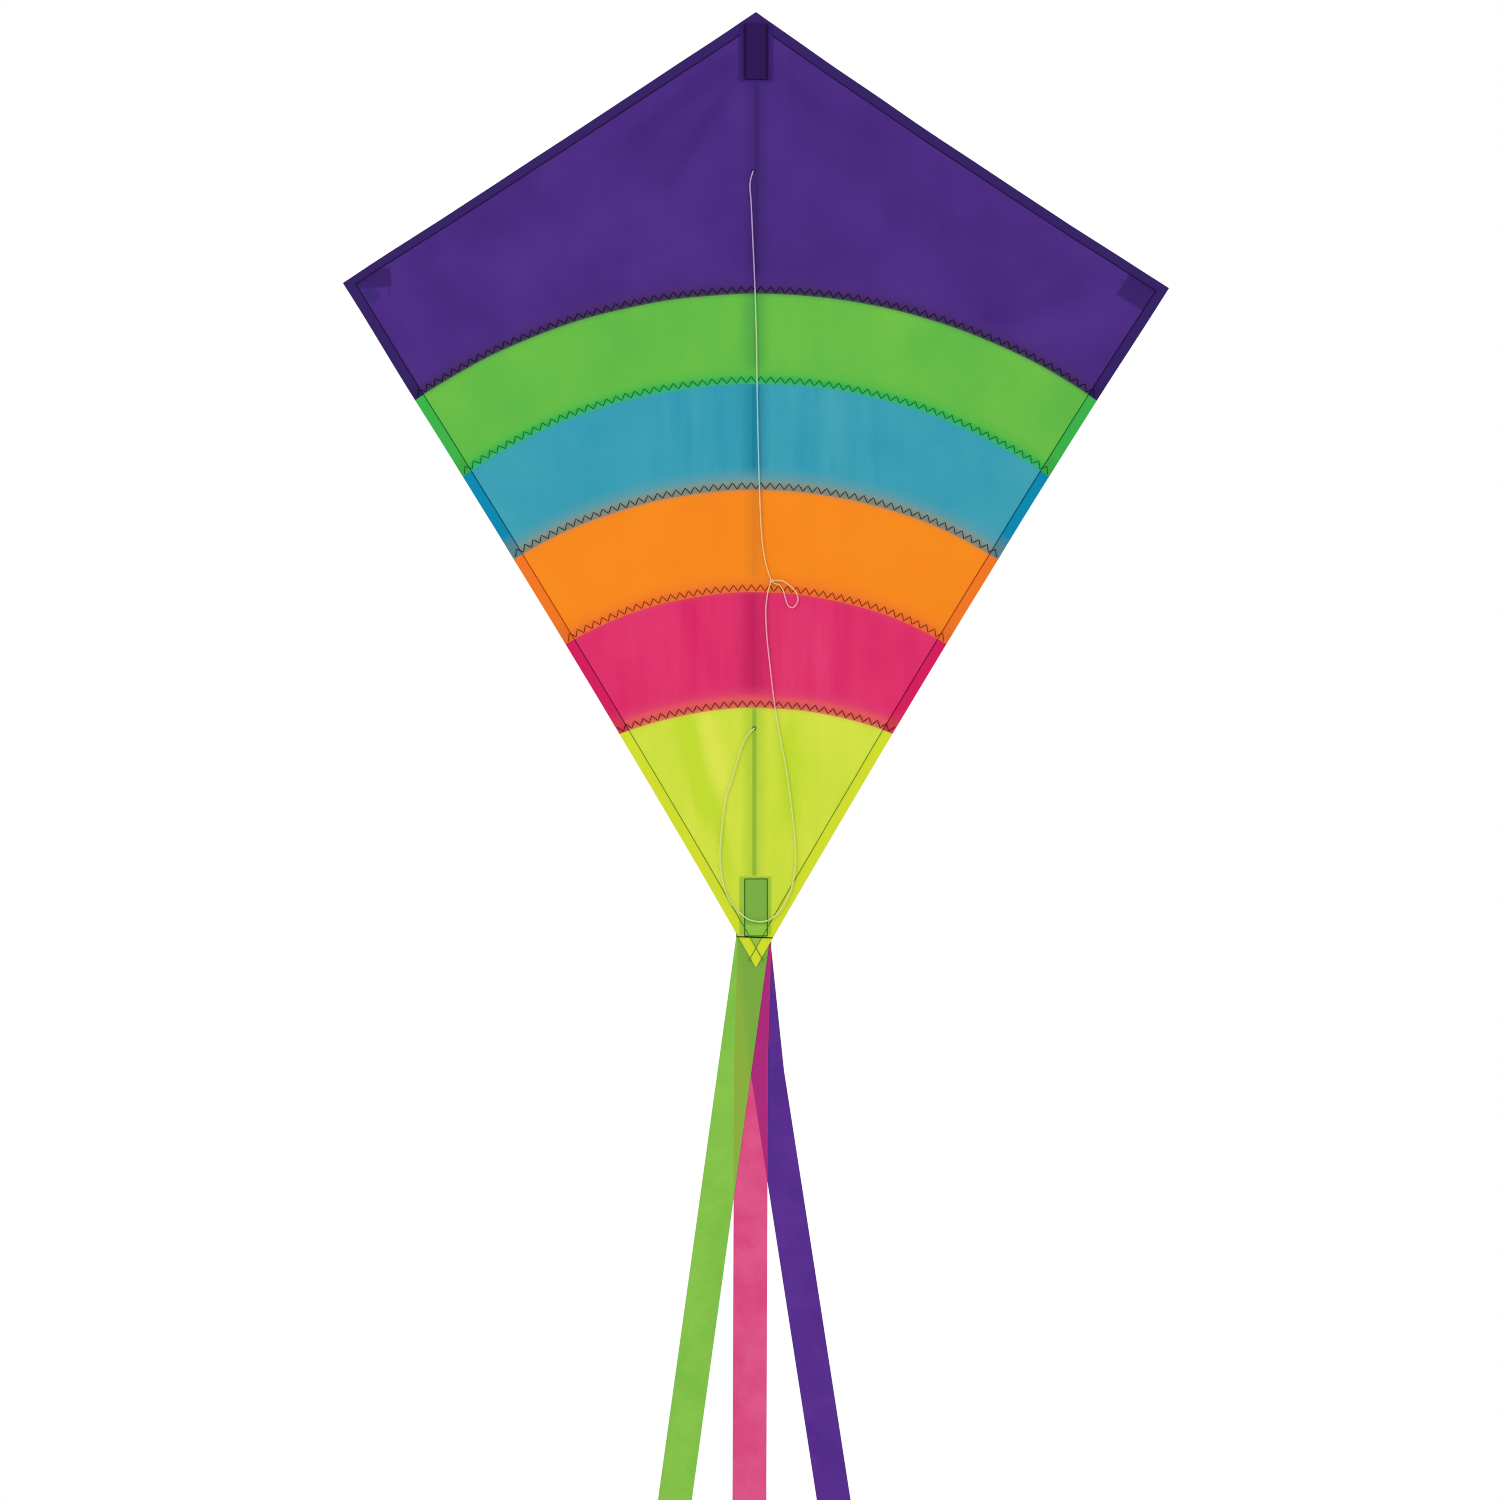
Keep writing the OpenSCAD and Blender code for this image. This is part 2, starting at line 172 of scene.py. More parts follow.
# Where a point of the flat pattern lies on the kite as it hangs
def sailPoint(x, y, z):
    return Vector((x, y + sailDepth(x, z), z + sailShift(x, z)))


# How far a point of the sail stands off flat: nothing at the rods and little at the edges
def sailDepth(x, z):
    rod = 1 - math.exp(-((x / (26 * mm)) ** 2))
    spar = 0.25 + 0.75 * (1 - math.exp(-((z / (22 * mm)) ** 2)))
    edge = 0.35 + 0.65 * smooth(edgeGap(x, z) / (45 * mm))
    broad = noise.noise(Vector((x * 7.0, 3.1, z * 5.0)))
    narrow = noise.noise(Vector((x * 26.0, 8.4, z * 6.5)))
    depth = ripple["slack"] * broad + ripple["fold"] * narrow
    # creases that fan out from the nose pocket and run down from the cross
    fan = math.atan2(x, sail["noseZ"] - z + 30 * mm)
    reach = smooth((sail["noseZ"] - z) / (60 * mm)) * (1 - smooth((-z - 60 * mm) / (260 * mm)))
    depth += ripple["crease"] * reach * math.sin(fan * 17.0 + 1.3 * math.sin(fan * 5.0)) * 0.7
    lower = smooth((-z - 80 * mm) / (160 * mm))
    depth += ripple["crease"] * 0.8 * lower * math.sin(x * 118.0 + 2.2 * math.sin(x * 31.0 + z * 4.0))
    for seam in range(len(seamTop)):
        gap = abs(seamGap(seam, x, z) - 4 * mm)
        if gap < 28 * mm:
            turn = math.atan2(x, z - seamTop[seam] + seamRadius[seam]) * seamRadius[seam]
            near = (1 - gap / (28 * mm)) ** 2
            depth += ripple["pucker"] * near * math.sin(turn * 330.0 + 2.0 * math.sin(turn * 47.0))
    return (depth + 0.8 * mm * creaseTone(x, z)) * rod * spar * edge


# Adds a node. A setting is a property of the node or else the value of one of its inputs. A link goes to
# an input by its name or place (Map Range: 1 and 2 from, 3 and 4 to; Mix: 0 share, 6 and 7 colours), and
# is a value, a socket, or a node, whose first output in use is then taken.
def addNode(tree, kind, links=None, **settings):
    node = tree.nodes.new("ShaderNode" + kind)
    for name, value in settings.items():
        if hasattr(node, name):
            setattr(node, name, value)
        else:
            node.inputs[name.replace("_", " ")].default_value = value
    for name, source in (links or {}).items():
        if isinstance(source, (int, float, tuple)):
            node.inputs[name].default_value = source
            continue
        if isinstance(source, bpy.types.Node):
            source = next(output for output in source.outputs if output.enabled)
        tree.links.new(source, node.inputs[name])
    return node


def linear(hexColour, gain=1.0):
    parts = [int(hexColour[i : i + 2], 16) / 255 for i in (1, 3, 5)]
    values = [p / 12.92 if p <= 0.04045 else ((p + 0.055) / 1.055) ** 2.4 for p in parts]
    return (*[v * gain for v in values], 1.0)


def newMaterial(name):
    material = bpy.data.materials.new(name)
    material.use_nodes = True
    tree = material.node_tree
    tree.nodes.clear()
    return material, tree


def finishMaterial(material, shader):
    addNode(material.node_tree, "OutputMaterial", {"Surface": shader})
    return material


gain = 0.9  # the studio lights a white surface facing the camera to about 1.15

# Yarns really lie 0.25 mm apart, drawn at 1.1 mm so that the weave shows at all; 900 slubs to a metre
weave = {"pitch": 1.1 * mm, "depth": 0.12 * mm, "slub": 900.0}


# What all the cloths share: warp going over and under weft, with painted shade darkening the hollow spaces
# between the yarns, and a dull surface with a trace of sheen from the loose fibres
def finishCloth(material, place, colour, strength=0.22, hollowShade=0.1):
    tree = material.node_tree
    parts = addNode(tree, "SeparateXYZ", {0: place})
    yarns = []
    for axis in ("X", "Y"):
        turns = addNode(tree, "Math", {0: parts.outputs[axis], 1: math.pi / weave["pitch"]},
                        operation="MULTIPLY")
        yarns.append(addNode(tree, "Math", {0: turns}, operation="SINE"))
    cross = addNode(tree, "Math", {0: yarns[0], 1: yarns[1]}, operation="MULTIPLY")
    slub = addNode(tree, "TexNoise", {"Vector": place}, Scale=weave["slub"], Detail=2.0, Roughness=0.6)
    height = addNode(tree, "Math", {0: slub, 1: 1.2, 2: cross}, operation="MULTIPLY_ADD")
    bump = addNode(tree, "Bump", {"Height": height}, Strength=strength, Distance=weave["depth"])
    # painted shade: the colour is darkened towards black between the yarns
    hollow = addNode(tree, "MapRange", {0: cross, 1: 0.6, 2: -0.6, 4: hollowShade})
    hollowShaded = addNode(tree, "Mix", {0: hollow, 6: colour, 7: (0, 0, 0, 1)}, data_type="RGBA")
    shader = addNode(tree, "BsdfPrincipled", {"Base Color": hollowShaded, "Normal": bump}, Roughness=0.62,
                     IOR=1.53, Sheen_Weight=0.01, Sheen_Roughness=0.5, Specular_IOR_Level=0.05)
    return finishMaterial(material, shader)


# How much of a patch lies at a point: patch["half"] is half its size, patch["soft"] its edges' softness
def inPatch(tree, place, patch):
    centre = (patch["at"][0] * mm, patch["at"][1] * mm, 0)
    turned = addNode(tree, "Mapping", {"Vector": place}, vector_type="TEXTURE", Location=centre,
                     Rotation=(0, 0, math.radians(patch.get("turn", 0))))
    off = addNode(tree, "VectorMath", {0: turned}, operation="ABSOLUTE")
    parts = addNode(tree, "SeparateXYZ", {0: off})
    share = patch["share"]
    for axis, half in zip(("X", "Y"), patch["half"]):
        low, high = (half - patch["soft"]) * mm, (half + patch["soft"]) * mm
        inside = addNode(tree, "MapRange", {0: parts.outputs[axis], 1: high, 2: low},
                         interpolation_type="SMOOTHSTEP")
        share = addNode(tree, "Math", {0: inside, 1: share}, operation="MULTIPLY")
    return share


# Where the spine lies behind the cloth, and how far up the painted shade and tints above a seam reach
spineSpan = (-0.5435, 0.189)
bandReach = 24 * mm


# Woven nylon taffeta, coloured with dye: it glows evenly in soft light and its colour varies in faint
# streaks and clouds; where a rod, a hem, a second layer or a pocket lies behind the thin cloth, the shade
# it makes against light from behind is painted into the colour
def sailCloth(name, look):
    material, tree = newMaterial("nylonTaffeta" + name.capitalize())
    place = addNode(tree, "UVMap", uv_map="cut")
    parts = addNode(tree, "SeparateXYZ", {0: place})
    across, up = parts.outputs["X"], parts.outputs["Y"]
    edge = addNode(tree, "Attribute", attribute_name="edgeGap").outputs["Fac"]
    crease = addNode(tree, "Attribute", attribute_name="crease").outputs["Fac"]
    # streaks run up the sail, 24 mm wide and 0.3 m long, and show most near the spine; clouds are 90 mm
    drawn = addNode(tree, "Mapping", {"Vector": place}, Scale=(42, 3.5, 1))
    uneven = addNode(tree, "TexNoise", {"Vector": drawn}, Scale=1.0, Detail=4.0, Roughness=0.6)
    cloudy = addNode(tree, "TexNoise", {"Vector": place}, Scale=11.0, Detail=3.0, Roughness=0.5)
    offSpine = addNode(tree, "Math", {0: across}, operation="ABSOLUTE")
    streaky = addNode(tree, "MapRange",
                      {0: offSpine, 1: 150 * mm, 2: 55 * mm, 3: look["streaks"] * 0.26, 4: look["streaks"]},
                      interpolation_type="SMOOTHSTEP")
    tone = addNode(tree, "Mix", {0: streaky, 2: cloudy, 3: uneven})
    # painted shade along the creases, and painted highlight where a crease's depth is negative
    creaseShaded = addNode(tree, "Math", {0: crease, 1: -look.get("creaseShade", 0.2), 2: tone},
                      operation="MULTIPLY_ADD")
    toneShare = addNode(tree, "MapRange", {0: creaseShaded, 1: 0.3, 2: 0.7})
    colour = addNode(tree, "Mix", {0: toneShare, 6: linear(look["dark"], gain), 7: linear(look["light"], gain)},
                     data_type="RGBA")
    # painted shadow of the spine, which lies behind the cloth and holds back light from behind: a dark line
    # with a soft edge on each side
    rodX, rodReach, rodSoft = look["behind"]
    fromRod = addNode(tree, "Math", {0: across, 1: rodX * mm}, operation="SUBTRACT")
    off = addNode(tree, "Math", {0: fromRod}, operation="ABSOLUTE")
    soft = addNode(tree, "MapRange", {0: off, 1: rodReach * mm, 2: 2.0 * mm, 4: rodSoft},
                   interpolation_type="SMOOTHSTEP")
    core = addNode(tree, "MapRange", {0: off, 1: 3.4 * mm, 2: 1.4 * mm, 4: 0.95},
                   interpolation_type="SMOOTHSTEP")
    rodShadow = addNode(tree, "Math", {0: soft, 1: core}, operation="MAXIMUM")
    aboveEnd = addNode(tree, "MapRange", {0: up, 1: spineSpan[0] - 1 * mm, 2: spineSpan[0] + 1 * mm})
    belowTop = addNode(tree, "MapRange", {0: up, 1: spineSpan[1] + 1 * mm, 2: spineSpan[1] - 1 * mm})
    inSpan = addNode(tree, "Math", {0: aboveEnd, 1: belowTop}, operation="MULTIPLY")
    behind = addNode(tree, "Math", {0: rodShadow, 1: inSpan}, operation="MULTIPLY")
    colour = addNode(tree, "Mix", {0: behind, 6: colour, 7: linear(look["rod"], gain)}, data_type="RGBA")
    # painted shade on the hem, where two layers more, and over a seam the allowance as well, hold back
    # light from behind
    hem = addNode(tree, "MapRange", {0: edge, 1: 10.2 * mm, 2: 9.6 * mm})
    hemShade = addNode(tree, "Mix", {0: uneven, 6: linear(look["hem"], gain * 0.94),
                                    7: linear(look["hem"], gain * 1.06)}, data_type="RGBA")
    if "bands" in look:
        # painted shade and tint above the lower seam, where the allowance behind holds back light and lends
        # its colour
        gap = addNode(tree, "Attribute", attribute_name="lowerGap").outputs["Fac"]
        above = addNode(tree, "MapRange", {0: gap, 1: 0.0, 2: bandReach})
        bands = addNode(tree, "ValToRGB", {0: above})
        stops = bands.color_ramp.elements
        for k, (distance, tint, share) in enumerate(look["bands"]):
            stop = stops[k] if k < 2 else stops.new(1.0)
            stop.position = min(1.0, distance * mm / bandReach)
            stop.color = (*linear(tint, gain)[:3], share)
        colour = addNode(tree, "Mix", {0: bands.outputs["Alpha"], 6: colour, 7: bands.outputs["Color"]},
                         data_type="RGBA")
        doubled = addNode(tree, "Math", {0: bands.outputs["Alpha"], 1: 0.75}, operation="MULTIPLY")
        hemShade = addNode(tree, "Mix", {0: doubled, 6: hemShade, 7: linear(look["hemBand"], gain)},
                          data_type="RGBA")
    if "strip" in look:
        # painted shade just below the upper seam, and the same tint on the allowance that goes up behind
        # the panel above
        gap = addNode(tree, "Attribute", attribute_name="upperGap").outputs["Fac"]
        shadow = addNode(tree, "MapRange", {0: gap, 1: -3.5 * mm, 2: 0.0, 4: 0.3})
        strip = addNode(tree, "MapRange", {0: gap, 1: 0.0, 2: 0.3 * mm})
        upper = addNode(tree, "Math", {0: shadow, 1: strip}, operation="MAXIMUM")
        colour = addNode(tree, "Mix", {0: upper, 6: colour, 7: linear(look["strip"], gain)},
                         data_type="RGBA")
    colour = addNode(tree, "Mix", {0: hem, 6: colour, 7: hemShade}, data_type="RGBA")
    # painted shade where pockets, rod ends and ribbons lie behind the cloth
    for patch in look.get("shadePatches", ()):
        amount = inPatch(tree, place, patch)
        if "insideHem" in patch:
            inside = addNode(tree, "MapRange", {0: edge, 1: 9.2 * mm, 2: 9.8 * mm})
            amount = addNode(tree, "Math", {0: amount, 1: inside}, operation="MULTIPLY")
        colour = addNode(tree, "Mix", {0: amount, 6: colour, 7: linear(patch["tint"], gain)},
                         data_type="RGBA")
    if "hole" in look:
        far = addNode(tree, "VectorMath", {0: place, 1: (*look["hole"], 0.0)}, operation="DISTANCE")
        rim = addNode(tree, "MapRange", {0: far, 1: 2.6 * mm, 2: 1.5 * mm}, interpolation_type="SMOOTHSTEP")
        colour = addNode(tree, "Mix", {0: rim, 6: colour, 7: linear(look["holeTint"], gain)},
                         data_type="RGBA")
    return finishCloth(material, place, colour)


# Adds a grid of columns by rows; place(i, j) gives each corner's point and its flat coordinates
def gridInto(bm, columns, rows, place, flip=False):
    made = bmesh.ops.create_grid(bm, x_segments=columns, y_segments=rows, size=0.5)["verts"]
    lowX, lowY = min(v.co.x for v in made), min(v.co.y for v in made)
    spanX, spanY = max(v.co.x for v in made) - lowX, max(v.co.y for v in made) - lowY
    flat = bm.loops.layers.uv.get("cut") or bm.loops.layers.uv.new("cut")
    spots = {}
    for vert in made:
        i = round((vert.co.x - lowX) / spanX * columns)
        j = round((vert.co.y - lowY) / spanY * rows)
        spots[vert] = place(i, j)
    faces = {face for vert in made for face in vert.link_faces}
    for face in faces:
        face.smooth = True
        for loop in face.loops:
            loop[flat].uv = spots[loop.vert][1]
    for vert, (point, _) in spots.items():
        vert.co = point
    if flip:
        bmesh.ops.reverse_faces(bm, faces=list(faces))
    return made


def pieceFrom(bm, name, material, merge=0.004 * mm):
    if merge:
        bmesh.ops.remove_doubles(bm, verts=bm.verts, dist=merge)
        bmesh.ops.dissolve_degenerate(bm, edges=bm.edges, dist=merge)
    mesh = bpy.data.meshes.new(name)
    bm.to_mesh(mesh)
    bm.free()
    piece = bpy.data.objects.new(name, mesh)
    bpy.context.scene.collection.objects.link(piece)
    mesh.materials.append(material)
    mesh.set_sharp_from_angle(angle=math.radians(40))
    return piece


def thicken(piece, thickness):
    shell = piece.modifiers.new("thickness", "SOLIDIFY")
    shell.thickness = thickness
    shell.offset = 0
    applyModifiers(piece)


def applyModifiers(piece):
    graph = bpy.context.evaluated_depsgraph_get()
    graph.update()
    mesh = bpy.data.meshes.new_from_object(piece.evaluated_get(graph))
    piece.modifiers.clear()
    piece.data = mesh
    mesh.set_sharp_from_angle(angle=math.radians(40))


# Camera: straight on, level, 4 m in front of the sail
camera = {"at": (-5.5 * mm, -4.0, -427.6 * mm), "frameWidth": 1383.75 * mm, "sensor": 36.0}
cameraData = bpy.data.cameras.new("camera")
cameraData.sensor_width = camera["sensor"]
cameraData.lens = camera["sensor"] * (sail["frontY"] - camera["at"][1]) / camera["frameWidth"]
cameraObject = bpy.data.objects.new("camera", cameraData)
cameraObject.location = camera["at"]
cameraObject.rotation_euler = (math.pi / 2, 0, 0)
bpy.context.scene.collection.objects.link(cameraObject)
bpy.context.scene.camera = cameraObject

# Cords

# The cord's route, across and up in millimetres, as it hangs in front of the sail
bridle = {
    "y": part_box("bridle_bight")[0].y / 2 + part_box("bridle_bight")[1].y / 2,
    "diameter": 1.2 * mm,
    "knot": (14.4, -271.7),
    "upperHole": (-2.5, 106.5),
    "lowerHole": (-1.5, -407.5),
    "upper": [(-5, 98), (-5.5, 90), (-4.5, 78), (-3, 45), (-1, 0), (0.5, -50), (1, -90), (2, -140),
              (3.5, -195), (5.5, -232), (8.5, -253), (13.4, -269.4)],
    "loop": [(17.1, -271.2), (24, -271.5), (29, -274.5), (33.5, -278), (37, -282.5), (38.7, -287.5),
             (37.5, -293), (33.5, -296.5), (29.5, -294), (27, -287), (25.2, -281), (22, -276),
             (17.1, -273.8)],
    "bight": [(11, -282), (9.5, -292), (9, -301), (9.5, -314), (10.5, -328), (12.5, -346),
              (14.5, -364), (16.5, -381), (19.5, -400), (23, -420), (27, -440), (31, -467),
              (34, -491), (36, -512), (36.5, -530), (34.5, -548), (29.5, -563), (22, -576),
              (12.5, -584), (4.5, -586)],
    "lower": [(2.5, -586), (-7.5, -583.5), (-16.5, -576), (-24, -567), (-29.5, -553),
              (-32.5, -537), (-33, -519), (-31, -495), (-28, -473), (-23.5, -458), (-18.5, -442),
              (-13.5, -425), (-8, -414)],
}


# A smooth line through the points
def smoothRoute(points, steps):
    found = []
    for i in range(len(points) - 1):
        before, start = points[max(i - 1, 0)], points[i]
        end, after = points[i + 1], points[min(i + 2, len(points) - 1)]
        for k in range(steps):
            t = k / steps
            found.append(0.5 * (2 * start + (end - before) * t
                                + (2 * before - 5 * start + 4 * end - after) * t * t
                                + (3 * start - before - 3 * end + after) * t ** 3))
    found.append(points[-1].copy())
    return found


def routeLength(path):
    return sum((b - a).length for a, b in zip(path, path[1:]))


# A tube along path, with its length and turn as its flat coordinates
def tubeInto(bm, path, radius, sides):
    total = [0.0]
    for a, b in zip(path, path[1:]):
        total.append(total[-1] + (b - a).length)
    rings = []
    side = None
    for i, point in enumerate(path):
        way = (path[min(i + 1, len(path) - 1)] - path[max(i - 1, 0)]).normalized()
        if side is None:
            side = way.cross(Vector((0, 1, 0)) if abs(way.y) < 0.9 else Vector((1, 0, 0))).normalized()
        side = (side - way * side.dot(way)).normalized()
        rings.append((point, side.copy(), way.cross(side)))

    def place(i, j):
        point, right, over = rings[i]
        angle = 2 * math.pi * j / sides
        spot = point + (right * math.cos(angle) + over * math.sin(angle)) * radius
        return spot, (total[i], angle * radius)

    return gridInto(bm, len(path) - 1, sides, place)


def closeTube(bm):
    bmesh.ops.remove_doubles(bm, verts=bm.verts, dist=0.004 * mm)
    bmesh.ops.holes_fill(bm, edges=bm.edges)
    bmesh.ops.recalc_face_normals(bm, faces=bm.faces)


# Braided polyester cord, white: dull, with small shadows where its slanting strands cross
def cordMaterial():
    material, tree = newMaterial("braidedPolyesterWhite")
    place = addNode(tree, "UVMap", uv_map="cut")
    parts = addNode(tree, "SeparateXYZ", {0: place})
    # strands cross every 1.2 mm along the cord
    along = addNode(tree, "Math", {0: parts.outputs["X"], 1: 2 * math.pi / (1.2 * mm)},
                    operation="MULTIPLY")
    around = addNode(tree, "Math", {0: parts.outputs["Y"], 1: 2.5 * math.pi / (1.2 * mm)},
                     operation="MULTIPLY")
    strands = []
    for way in ("ADD", "SUBTRACT"):
        slant = addNode(tree, "Math", {0: along, 1: around}, operation=way)
        strands.append(addNode(tree, "Math", {0: slant}, operation="SINE"))
    braid = addNode(tree, "Math", {0: strands[0], 1: strands[1]}, operation="MAXIMUM")
    raised = addNode(tree, "MapRange", {0: braid, 1: -0.6, 2: 0.8})
    yarn = addNode(tree, "Mix", {0: raised, 6: linear("#CCCBC4"), 7: linear("#EFEEE8")}, data_type="RGBA")
    # painted light from the cloth: the yarn's colour is multiplied by the cloth tint kept in "near"
    near = addNode(tree, "Attribute", attribute_name="near")
    colour = addNode(tree, "Mix", {0: 1.0, 6: yarn, 7: near}, data_type="RGBA", blend_type="MULTIPLY")
    bump = addNode(tree, "Bump", {"Height": braid}, Strength=0.5, Distance=0.12 * mm)
    shader = addNode(tree, "BsdfPrincipled", {"Base Color": colour, "Normal": bump}, Roughness=0.72,
                     IOR=1.57, Sheen_Weight=0.15, Specular_IOR_Level=0.3)
    return finishMaterial(material, shader)


cordWhite = cordMaterial()


def cordPoint(spot, y=None):
    return Vector((spot[0] * mm, bridle["y"] if y is None else y, spot[1] * mm))


# Out of the sail's hole and down to the cord's own depth
def throughHole(hole, towards):
    back = sail["frontY"] + 1.2 * mm
    first = cordPoint(hole, back)
    bend = cordPoint((hole[0] + (towards[0] - hole[0]) * 0.12, hole[1] + (towards[1] - hole[1]) * 0.12),
                     bridle["y"] + 0.9 * mm)
    return [first, bend]


# Painted light: the thin cord is given some of the colour of the cloth behind it wherever it lies in front
# of the sail
nearTints = ["#BFA3DC", "#B6EAA2", "#A0D8EA", "#FFCB8C", "#FFA9C4", "#E0F096"]


def tintCord(piece):
    glow = piece.data.color_attributes.new("near", "FLOAT_COLOR", "POINT")
    for vert, value in zip(piece.data.vertices, glow.data):
        panel = sum(1 for seam in range(5) if seamGap(seam, vert.co.x, vert.co.z) < 0)
        value.color = linear(nearTints[panel] if vert.co.y < sail["frontY"] else "#F4F4F0")
    return piece


def makeCord(name, path, sides=10):
    bm = bmesh.new()
    tubeInto(bm, path, bridle["diameter"] / 2, sides)
    closeTube(bm)
    return tintCord(pieceFrom(bm, name, cordWhite, 0))


knotAt = cordPoint(bridle["knot"])
upperPath = smoothRoute(
    throughHole(bridle["upperHole"], bridle["upper"][0]) + [cordPoint(p) for p in bridle["upper"]]
    + [knotAt], 5)
lowerPath = smoothRoute(
    throughHole(bridle["lowerHole"], bridle["lower"][-1])
    + [cordPoint(p) for p in reversed(bridle["lower"])]
    + [cordPoint(p) for p in reversed(bridle["bight"])] + [cordPoint((12.8, -275.5)), knotAt], 5)
loopPath = smoothRoute(
    [knotAt] + [cordPoint(p, bridle["y"] + side * mm) for p, side in
                zip(bridle["loop"], [-0.4] * 6 + [0] + [0.4] * 6)] + [knotAt], 5)
upperLeg = makeCord("bridleUpperLeg", upperPath)
lowerLeg = makeCord("bridleLowerLeg", lowerPath)
towLoop = makeCord("towLoop", loopPath)

# The knot: two turns of the cord round its own lead
knotTurns = []
for k in range(33):
    angle = 2 * math.pi * k / 16
    lift = (k / 32 - 0.5) * 2.4
    knotTurns.append(knotAt + Vector((math.cos(angle) * 1.35 + lift * 0.5, math.sin(angle) * 1.25,
                                      lift * -0.85 + math.cos(angle) * 0.8)) * mm)
bm = bmesh.new()
tubeInto(bm, knotTurns, bridle["diameter"] * 0.47, 10)
closeTube(bm)
towKnot = tintCord(pieceFrom(bm, "towKnot", cordWhite, 0))

for piece, node in ((upperLeg, "bridle_upper_leg"), (towKnot, "tow_knot"), (towLoop, "tow_loop")):
    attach(piece, "bridle_upper")
    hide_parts(node)
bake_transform(lowerLeg)
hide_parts("bridle_lower_leg", "bridle_bight")
for piece, path, far, extra in ((upperLeg, upperPath, "knot", [towKnot]), (lowerLeg, lowerPath, "knot", []),
                                (towLoop, loopPath, "knot", [])):
    length = round(routeLength(path), 3)
    tuple(path[0])
    [tuple(p) for p in path]
    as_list(extra)
    print("cord", piece.name, "length", length)

# Sail

